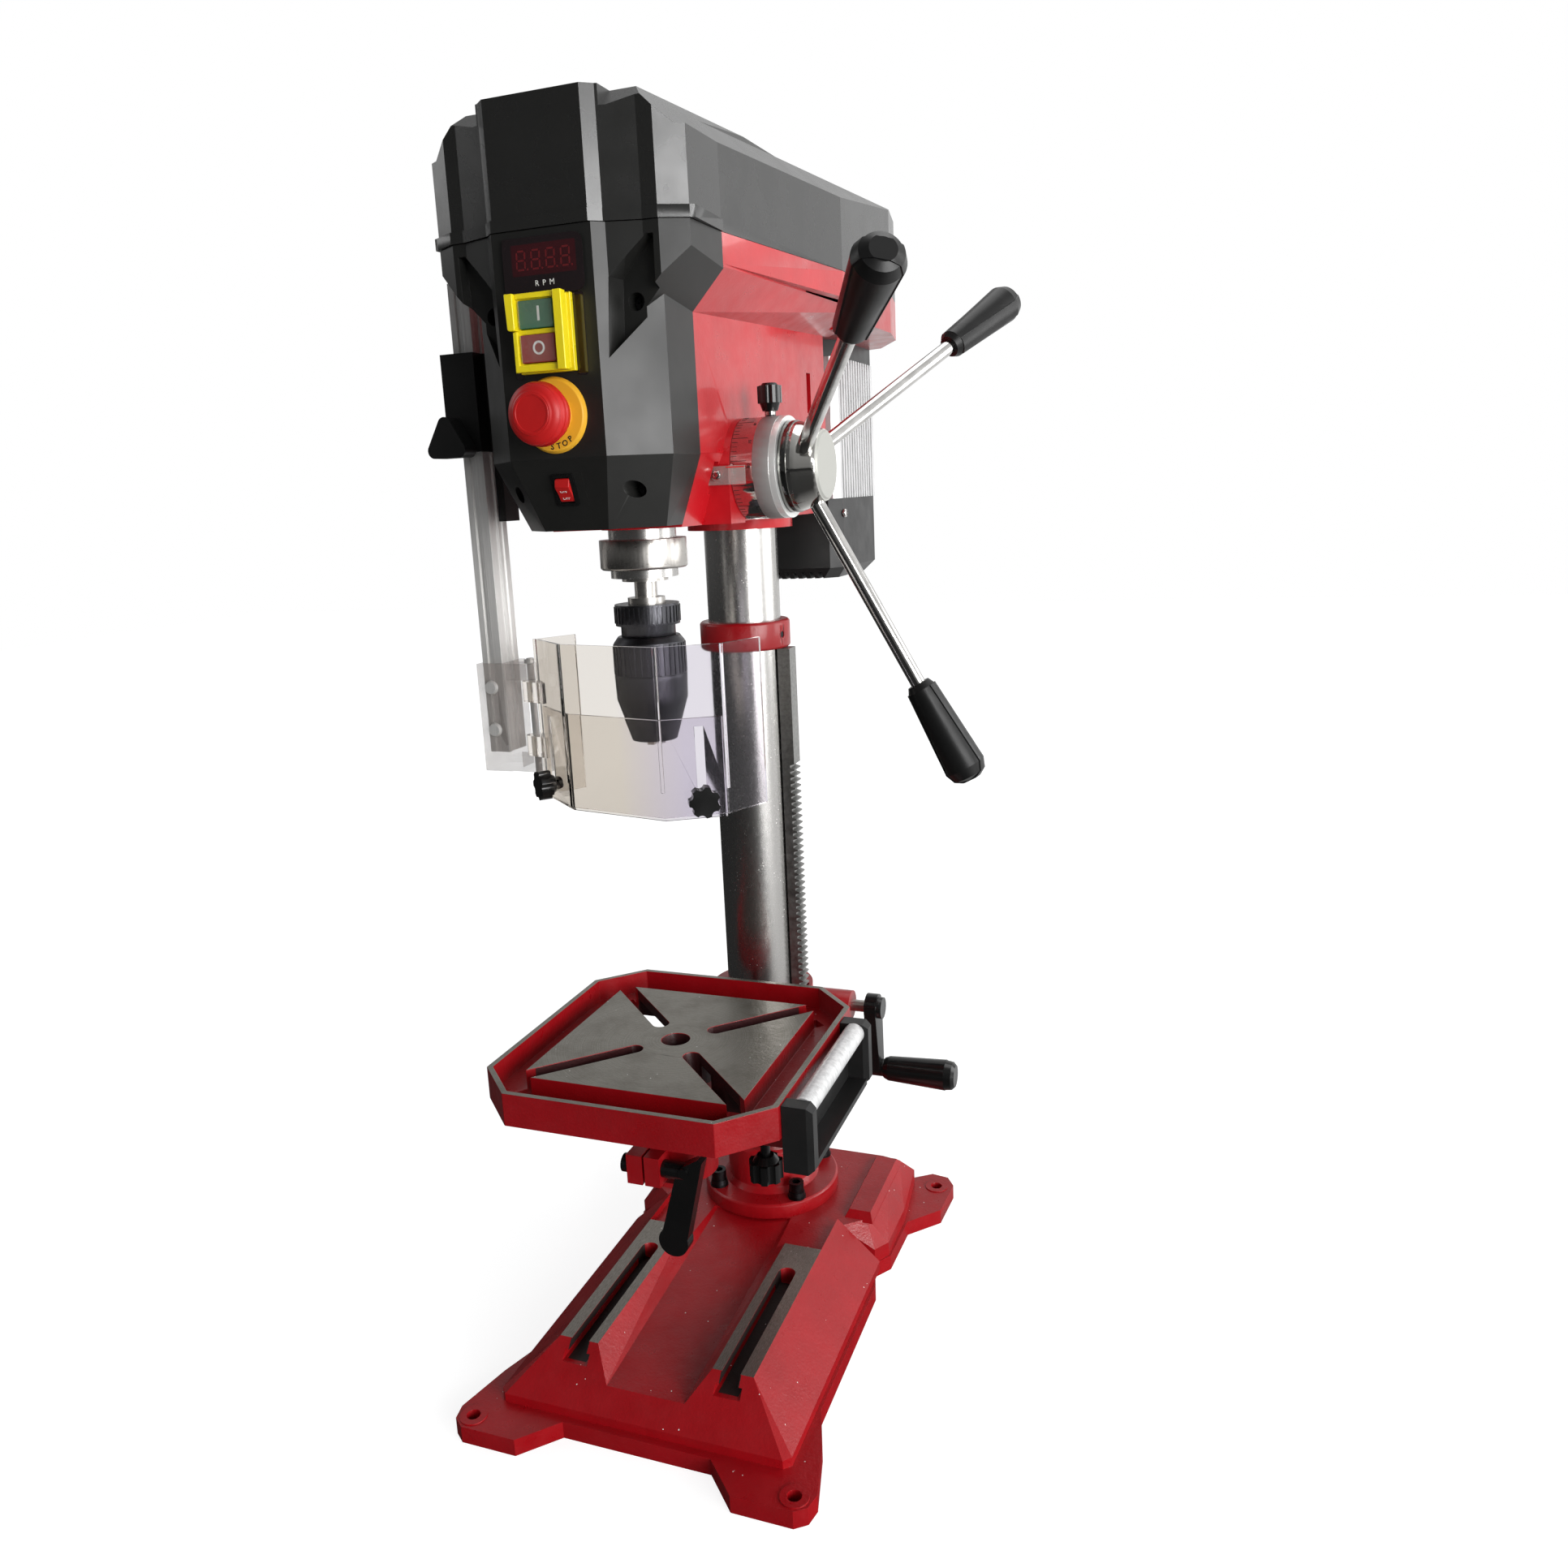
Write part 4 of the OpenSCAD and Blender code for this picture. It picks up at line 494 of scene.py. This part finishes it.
def slab_of(bm, outline, depth, at):
    """A flat outline in the local XY plane, raised by depth along local Z."""
    low = [bm.verts.new((x, y, 0)) for x, y in outline]
    high = [bm.verts.new((x, y, depth)) for x, y in outline]
    bm.faces.new(low[::-1])
    bm.faces.new(high)
    n = len(outline)
    for i in range(n):
        bm.faces.new((low[i], low[(i + 1) % n], high[(i + 1) % n], high[i]))
    bmesh.ops.transform(bm, matrix=at, verts=low + high)
    return low + high


def brick(bm, size, at):
    x, y, z = (s / 2 for s in size)
    slab_of(bm, [(-x, -y), (x, -y), (x, y), (-x, y)], size[2], at @ place(0, 0, -z))


def lathe(bm, profile, steps, at):
    """(radius, height) pairs turned about local Z; the ends are capped, or the profile closes."""
    closed = profile[0] == profile[-1]
    rings = []
    for r, z in profile[:len(profile) - closed]:
        turns = [2 * math.pi * k / steps for k in range(steps)] if r > 1e-6 else [0.0]
        rings.append([bm.verts.new((r * math.cos(a), r * math.sin(a), z)) for a in turns])
    new = [v for ring in rings for v in ring]
    if closed:
        rings.append(rings[0])
    for a, b in zip(rings, rings[1:]):
        for k in range(steps):
            k2 = (k + 1) % steps
            corners = [a[k % len(a)], a[k2 % len(a)], b[k2 % len(b)], b[k % len(b)]]
            unique = list(dict.fromkeys(corners))
            if len(unique) > 2:
                bm.faces.new(unique)
    if not closed:
        for ring in (rings[0], rings[-1]):
            if len(ring) > 2:
                bm.faces.new(ring)
    bmesh.ops.transform(bm, matrix=at, verts=new)


def words(bm, text, size, at, spacing=1.0, depth=0.12, bold=0.0):
    """Raised letters centred on local XY, size being the letters' line height."""
    curve = bpy.data.curves.new("words", "FONT")
    curve.body = text
    curve.size = size
    curve.align_x = "CENTER"
    curve.align_y = "CENTER"
    curve.space_character = spacing
    curve.extrude = depth / 2
    curve.offset = bold
    curve.resolution_u = 3
    carrier = bpy.data.objects.new("words", curve)
    bpy.context.scene.collection.objects.link(carrier)
    bpy.context.view_layer.update()
    mesh = bpy.data.meshes.new_from_object(carrier)
    mesh.transform(at)
    bm.from_mesh(mesh)
    bpy.data.objects.remove(carrier)
    bpy.data.curves.remove(curve)
    bpy.data.meshes.remove(mesh)


def cross_screw(bm, r, at):
    """A round screw head of radius r with a cross cut into it, on local Z."""
    lathe(bm, [(r, 0), (r, r * 0.25), (r * 0.85, r * 0.5), (r * 0.55, r * 0.62),
               (r * 0.5, r * 0.35), (0, r * 0.35)], 24, at)
    quarter = [(0.14, 0.14), (0.5, 0.14), (0.42, 0.42), (0.14, 0.5)]
    for k in range(4):
        slab_of(bm, [(x * r, y * r) for x, y in quarter], r * 0.6, at @ about("Z", 45 + 90 * k))


def rounded(x0, x1, y0, y1, r):
    """Corners of a box with rounded corners, anticlockwise."""
    steps = 5
    points = []
    centres = ((x1 - r, y1 - r), (x0 + r, y1 - r), (x0 + r, y0 + r), (x1 - r, y0 + r))
    for quarter, (cx, cy) in enumerate(centres):
        for k in range(steps + 1):
            a = math.radians(90 * quarter + 90 * k / steps)
            points.append((cx + r * math.cos(a), cy + r * math.sin(a)))
    return points


# The front panel's plane, and the switch box's in front of it
FACE_Y = -339.0
BOX_Y = FACE_Y - 13

# The display's window with a strip on each side of the box, its unlit digits and their unit
LENS_Y = FACE_Y - 2.05
bm = bmesh.new()
slab_of(bm, rounded(-29, 32, 914.8, 951.8, 6), 0.5, place(0, LENS_Y, 0, FRONT))
for x0, x1 in ((-27, -21.2), (21.2, 29)):
    slab_of(bm, rounded(x0, x1, 861, 914.6, 2), 0.5, place(0, FACE_Y - 0.05, 0, FRONT))
added("display_lens", bm, "window", "stand")

# A digit's strokes as ends in a unit box; each stroke is a bar with pointed ends
STROKES = (((0, 1), (1, 1)), ((1, 1), (1, 0.5)), ((1, 0.5), (1, 0)), ((0, 0), (1, 0)),
           ((0, 0.5), (0, 0)), ((0, 1), (0, 0.5)), ((0, 0.5), (1, 0.5)))
DIGITS, DIGIT_W, DIGIT_H, DIGIT_PITCH = 4, 6.2, 11.8, 11.3
DIGIT_X, DIGIT_Z = -18.2, 931.5
STROKE, STROKE_GAP, SLANT, INK = 0.6, 0.5, 0.03, 0.06
bm = bmesh.new()
for k in range(DIGITS):
    at = place(DIGIT_X + DIGIT_PITCH * k, LENS_Y - 0.52, DIGIT_Z, FRONT)
    for (x0, y0), (x1, y1) in STROKES:
        a = Vector((x0 * DIGIT_W, y0 * DIGIT_H))
        b = Vector((x1 * DIGIT_W, y1 * DIGIT_H))
        along = (b - a).normalized()
        across = Vector((-along.y, along.x)) * STROKE
        a, b = a + along * STROKE_GAP, b - along * STROKE_GAP
        a_in, b_in = a + along * STROKE, b - along * STROKE
        bar = [a, a_in + across, b_in + across, b, b_in - across, a_in - across]
        slab_of(bm, [(p.x + p.y * SLANT, p.y) for p in bar], INK, at)
    lathe(bm, [(0.7, 0), (0.7, INK)], 12, at @ place(DIGIT_W + 1.9, 0, 0))
added("display_digits", bm, "digit", "stand", smooth=False)

bm = bmesh.new()
slab_of(bm, rounded(-22, 27, 927.5, 947.5, 1), 0.02, place(0, LENS_Y - 0.51, 0, FRONT))
added("display_filter", bm, "filter", "stand", smooth=False)

bm = bmesh.new()
words(bm, "RPM", 5.2, place(2.2, LENS_Y - 0.55, 922, FRONT), spacing=2.0, depth=0.08)
added("display_unit", bm, "white_print", "stand", smooth=False)

# The two buttons' marks, their clear covers and the stepped rim round them
bm = bmesh.new()
brick(bm, (1.7, 9.4, 0.2), place(2, BOX_Y - 1.6, 901.3, FRONT))
added("start_mark", bm, "white_print", "start_button", smooth=False)

bm = bmesh.new()
lathe(bm, [(3.1, 0), (4.5, 0), (4.5, 0.25), (3.1, 0.25), (3.1, 0)], 40,
      place(0.5, BOX_Y - 1.5, 879.4, FRONT))
added("stop_mark", bm, "white_print", "stop_button", smooth=False)

for button, z in (("start", 901), ("stop", 879)):
    bm = bmesh.new()
    slab_of(bm, rounded(-12.9, 12.9, z - 8.8, z + 8.8, 1.2), 1.6,
            place(0, BOX_Y - 1.75, 0, FRONT))
    cover = added(f"{button}_cover", bm, "lens", f"{button}_button")
    soften(cover, 0.5)

# The rim: outlines and how far each stands off the box, and a ridge that leans outwards
RIM = (
    ([(-21, 914.6), (-14.6, 914.6), (-14.6, 891), (-19.4, 891), (-20.2, 892)], 6),
    ([(-18, 864), (-18, 890.5), (-14.6, 890.5), (-14.6, 868.5), (16, 868.5), (16, 864)], 3),
    ([(-14.6, 911), (14, 911), (14, 914.6), (-14.6, 914.6)], 3),
)
RIDGE = [(15.8, 864), (21.4, 864), (21.4, 914.6), (15.8, 914.6)]
bm = bmesh.new()
for outline, height in RIM:
    slab_of(bm, outline, height, place(0, BOX_Y, 0, FRONT))
for v in slab_of(bm, RIDGE, 8, place(0, BOX_Y + 2, 0, FRONT)):
    if v.co.y < BOX_Y - 5 and v.co.x > 18:
        v.co.x += 0.8
rim = added("switch_rim", bm, "yellow", "stand")
soften(rim, 0.7, 3)

# The stop button: its disc's word, and the thick mushroom with a ring and bumps on its face
STOP_Z = 836
WORD_R, WORD_MIDDLE, WORD_STEP = 21.2, 288, 14
bm = bmesh.new()
for i, letter in enumerate("STOP"):
    degrees = WORD_MIDDLE + (i - 1.5) * WORD_STEP
    a = math.radians(degrees)
    at = place(WORD_R * math.cos(a), FACE_Y - 4.05, STOP_Z + WORD_R * math.sin(a))
    words(bm, letter, 5.6, at @ FRONT @ about("Z", degrees + 90), bold=0.12)
added("stop_words", bm, "black_print", "stand", smooth=False)

MUSHROOM = [
    (0, 29.6), (8.6, 30), (11.4, 30.5), (12, 31.3), (13, 31.3), (13.8, 30.6), (16, 30),
    (18.4, 28.6), (20.2, 26.4), (21.1, 23.8), (21.2, 21.5), (20.6, 19.8), (19.6, 18.4),
    (18.8, 14.5), (18.2, 10), (12, 9.6),
]
bm = bmesh.new()
lathe(bm, MUSHROOM, 64, place(0, FACE_Y, STOP_Z, FRONT))
added("stop_cap", bm, "deep_scarlet", "emergency_button")

# Bumps on the mushroom's face, in the pale red: a painted highlight
BUMPS, BUMPS_R = 9, 6.6
bm = bmesh.new()
for k in range(BUMPS):
    a = 2 * math.pi * k / BUMPS
    lathe(bm, [(1, 0), (0.85, 0.5), (0.45, 0.85), (0, 1)], 12,
          place(0, FACE_Y - 29.7, STOP_Z, FRONT)
          @ place(BUMPS_R * math.cos(a), BUMPS_R * math.sin(a), 0))
added("stop_bumps", bm, "painted_glint", "emergency_button")

# The rocker in the chin's slope: a flush plate, a narrow frame and the rocker's two faces
chin = place(0, -330.92, 786, about("X", 21.04))
bm = bmesh.new()
slab_of(bm, rounded(-15.4, 15.4, -12.4, 12.4, 1), 0.2, chin @ FRONT)
added("rocker_plate", bm, "panel", "stand", smooth=False)

outer = rounded(-8.6, 8.6, -11.6, 11.6, 1)
inner = rounded(-5.9, 5.9, -9.4, 9.4, 0.5)
bm = bmesh.new()
rings = [[bm.verts.new(chin @ FRONT @ Vector((x, y, z))) for x, y in points]
         for points, z in ((outer, 0), (outer, 1.9), (inner, 2.3), (inner, -6))]
for a, b in zip(rings, rings[1:]):
    for k in range(len(a)):
        k2 = (k + 1) % len(a)
        bm.faces.new((a[k], a[k2], b[k2], b[k]))
bm.faces.new(rings[-1])
bezel = added("rocker_frame", bm, "gloss", "stand")
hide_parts("rocker_bezel")

# The rocker's side in Y and Z; its width of 11.4 runs along X
WEDGE = [(3.5, -5.5), (-0.4, -8.6), (-1.4, -8.6), (-2.6, -3.5), (-5.4, 3.6), (-2.4, 8.4),
         (-0.8, 8.6), (3.5, 5.5)]
ALONG_X = Matrix(((0, 0, 1, 0), (1, 0, 0, 0), (0, 1, 0, 0), (0, 0, 0, 1)))
bm = bmesh.new()
slab_of(bm, WEDGE, 11.4, chin @ place(-5.7, 0, 0) @ ALONG_X)
wedge = added("rocker_wedge", bm, "deep_scarlet", "light_switch")
soften(wedge, 0.5)
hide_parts("rocker")

bm = bmesh.new()
words(bm, "ON", 3.4, chin @ place(0, -4.15, 0.2) @ about("X", -22) @ FRONT, depth=0.1)
words(bm, "OFF", 3.4, chin @ place(0, -2.25, -5.6) @ about("X", -13) @ FRONT, depth=0.1)
added("rocker_words", bm, "white_print", "light_switch", smooth=False)

# Graduations round the depth ring, one step to a millimetre of stroke, with every fifth numbered
RING_X, RING_R, FEED_Y, FEED_Z = 79.5, 39.0, -178.0, 796.0
PER_TURN, NUMBERED = 66, 5
LONG_LINE, SHORT_LINE, LINE_W = 12.5, 4.5, 0.42
bm = bmesh.new()
for i in range(PER_TURN):
    length = SHORT_LINE if i % NUMBERED else LONG_LINE
    brick(bm, (length, LINE_W, 0.12),
          place(RING_X + 0.6 + length / 2, FEED_Y, FEED_Z)
          @ about("X", 360 * i / PER_TURN) @ place(0, 0, RING_R))
for i in range(0, PER_TURN, NUMBERED):
    at = (place(RING_X + 15.2, FEED_Y, FEED_Z)
          @ about("X", -360 * i / PER_TURN) @ place(0, 0, RING_R - 0.02))
    words(bm, str(i), 3.2, at @ about("Z", 90), bold=0.05)
added("ring_scale", bm, "black_print", "depth_stop", smooth=False)

# Thread on the stud under the ring's lock knob
THREADS, PITCH, CREST_R, ROOT_R, STUD_R, BORE_R, STUD_H = 9, 0.9, 4.6, 4.1, 4.05, 3.9, 8.5
thread = [(STUD_R, 0)]
for k in range(THREADS):
    thread += [(CREST_R, 0.3 + k * PITCH), (ROOT_R, 0.75 + k * PITCH)]
thread += [(STUD_R, STUD_H), (BORE_R, STUD_H), (BORE_R, 0), thread[0]]
bm = bmesh.new()
lathe(bm, thread, 28, place(100, FEED_Y, FEED_Z + RING_R + 0.6))
added("lock_stud_thread", bm, "chrome", "depth_lock")

# The pointer's red line, its screw, and the screw on the head's side
bm = bmesh.new()
brick(bm, (15, 0.8, 0.2), place(85.5, -222.05, 797.4, FRONT))
added("pointer_line", bm, "scarlet", "stand", smooth=False)

bm = bmesh.new()
cross_screw(bm, 3.6, place(71, -224.4, 792, FRONT))
cross_screw(bm, 4.6, place(70.2, 112, 753) @ about("Y", 90))
added("cross_screws", bm, "chrome", "stand")


# Floor: the camera and glass see it nearly white; gloss sees it dark with a glow on one side
# only, a painted reflection of a room lit from that side

floor_look = Look("floor", (0.4, 0.4, 0.4), 0.8, Specular_IOR_Level=0.0)
grey = floor_look.mix(floor_look.noise(3, 2), (0.38, 0.38, 0.38), (0.41, 0.41, 0.41))
ray = floor_look.add("ShaderNodeLightPath").outputs
floor_look.set("Base Color", floor_look.mix(ray["Is Glossy Ray"], grey, (0.06, 0.06, 0.06)))
direct = floor_look.math("MAXIMUM", ray["Is Camera Ray"], ray["Is Transmission Ray"])
across = [floor_look.math("MULTIPLY", floor_look.axis(floor_look.place, i), weight)
          for i, weight in ((0, 0.8), (1, 0.6))]
# The glow seen only in gloss, brighter towards +X and +Y: a painted reflection
bright_side = floor_look.span(floor_look.math("ADD", *across), 0.05, 0.6, 0.0, 0.9)
mirrored = floor_look.math("MULTIPLY", ray["Is Glossy Ray"], bright_side)
paler = floor_look.span(floor_look.length(floor_look.place), 0.5, 2.5, 0.82, 1.0)
floor_look.set("Emission Color", (1, 1, 1, 1))
floor_look.set("Emission Strength",
               floor_look.math("MULTIPLY", floor_look.math("MAXIMUM", direct, mirrored), paler))
bpy.ops.mesh.primitive_plane_add(size=14, location=(0, 0, -0.0002))
floor = bpy.context.object
floor.name = "floor"
floor.data.materials.append(floor_look.mat)

# World: the camera and glass see plain white, gloss sees it dimmer on the room's dark side, and
# all other light is a low sky
ROOM_BRIGHT_SIDE = (0.78, 0.62, 0.1)
SKY, SKY_STRENGTH = (0.95, 0.97, 1.0, 1), 0.2
world = bpy.data.worlds.new("world")
bpy.context.scene.world = world
world.use_nodes = True
world_tree = world.node_tree
world_tree.nodes.clear()


def wnode(kind, op=None, *inputs):
    node = world_tree.nodes.new(kind)
    if op:
        node.operation = op
    for i, value in enumerate(inputs):
        if isinstance(value, bpy.types.NodeSocket):
            world_tree.links.new(value, node.inputs[i])
        else:
            node.inputs[i].default_value = value
    return node.outputs


def highest(value, *others):
    for other in others:
        value = wnode("ShaderNodeMath", "MAXIMUM", value, other)[0]
    return value


path = wnode("ShaderNodeLightPath")
way = wnode("ShaderNodeTexCoord")["Generated"]
toward = wnode("ShaderNodeVectorMath", "DOT_PRODUCT", way, ROOM_BRIGHT_SIDE)["Value"]
room = wnode("ShaderNodeMapRange", None, toward, -0.45, 0.75, 0.1, 1.0)[0]
glow = highest(room, path["Is Camera Ray"], path["Is Transmission Ray"])
seen = wnode("ShaderNodeBackground", None, (1, 1, 1, 1), glow)[0]
sky = wnode("ShaderNodeBackground", None, SKY, SKY_STRENGTH)[0]
shown = highest(path["Is Camera Ray"], path["Is Glossy Ray"], path["Is Transmission Ray"])
wnode("ShaderNodeOutputWorld", None, wnode("ShaderNodeMixShader", None, shown, sky, seen)[0])

# Lamps: name, where, aimed at, width and height in metres, watts
LAMPS = (
    ("key", (3.1, -1.95, 0.95), (0, -0.1, 0.6), (2.2, 1.8), 128),
    ("corner", (2.3, -3.0, 1.85), (0.05, -0.3, 0.9), (0.55, 0.7), 15),
    ("side", (2.4, 0.9, 1.1), (0, 0, 0.6), (1.4, 1.5), 26),
    ("fill", (-2.5, -0.3, 2.0), (0, -0.1, 0.5), (1.2, 1.2), 7),
    ("top", (0.2, 0.6, 2.7), (0, -0.1, 0.5), (1.5, 1.5), 14),
)
for name, at, target, size, watts in LAMPS:
    data = bpy.data.lights.new(name, "AREA")
    data.shape = "RECTANGLE"
    data.size, data.size_y = size
    data.energy = watts
    obj = bpy.data.objects.new(name, data)
    bpy.context.scene.collection.objects.link(obj)
    obj.location = at
    obj.rotation_mode = "QUATERNION"
    obj.rotation_quaternion = (Vector(target) - Vector(at)).to_track_quat("-Z", "Y")

bpy.context.scene.view_settings.view_transform = "Standard"
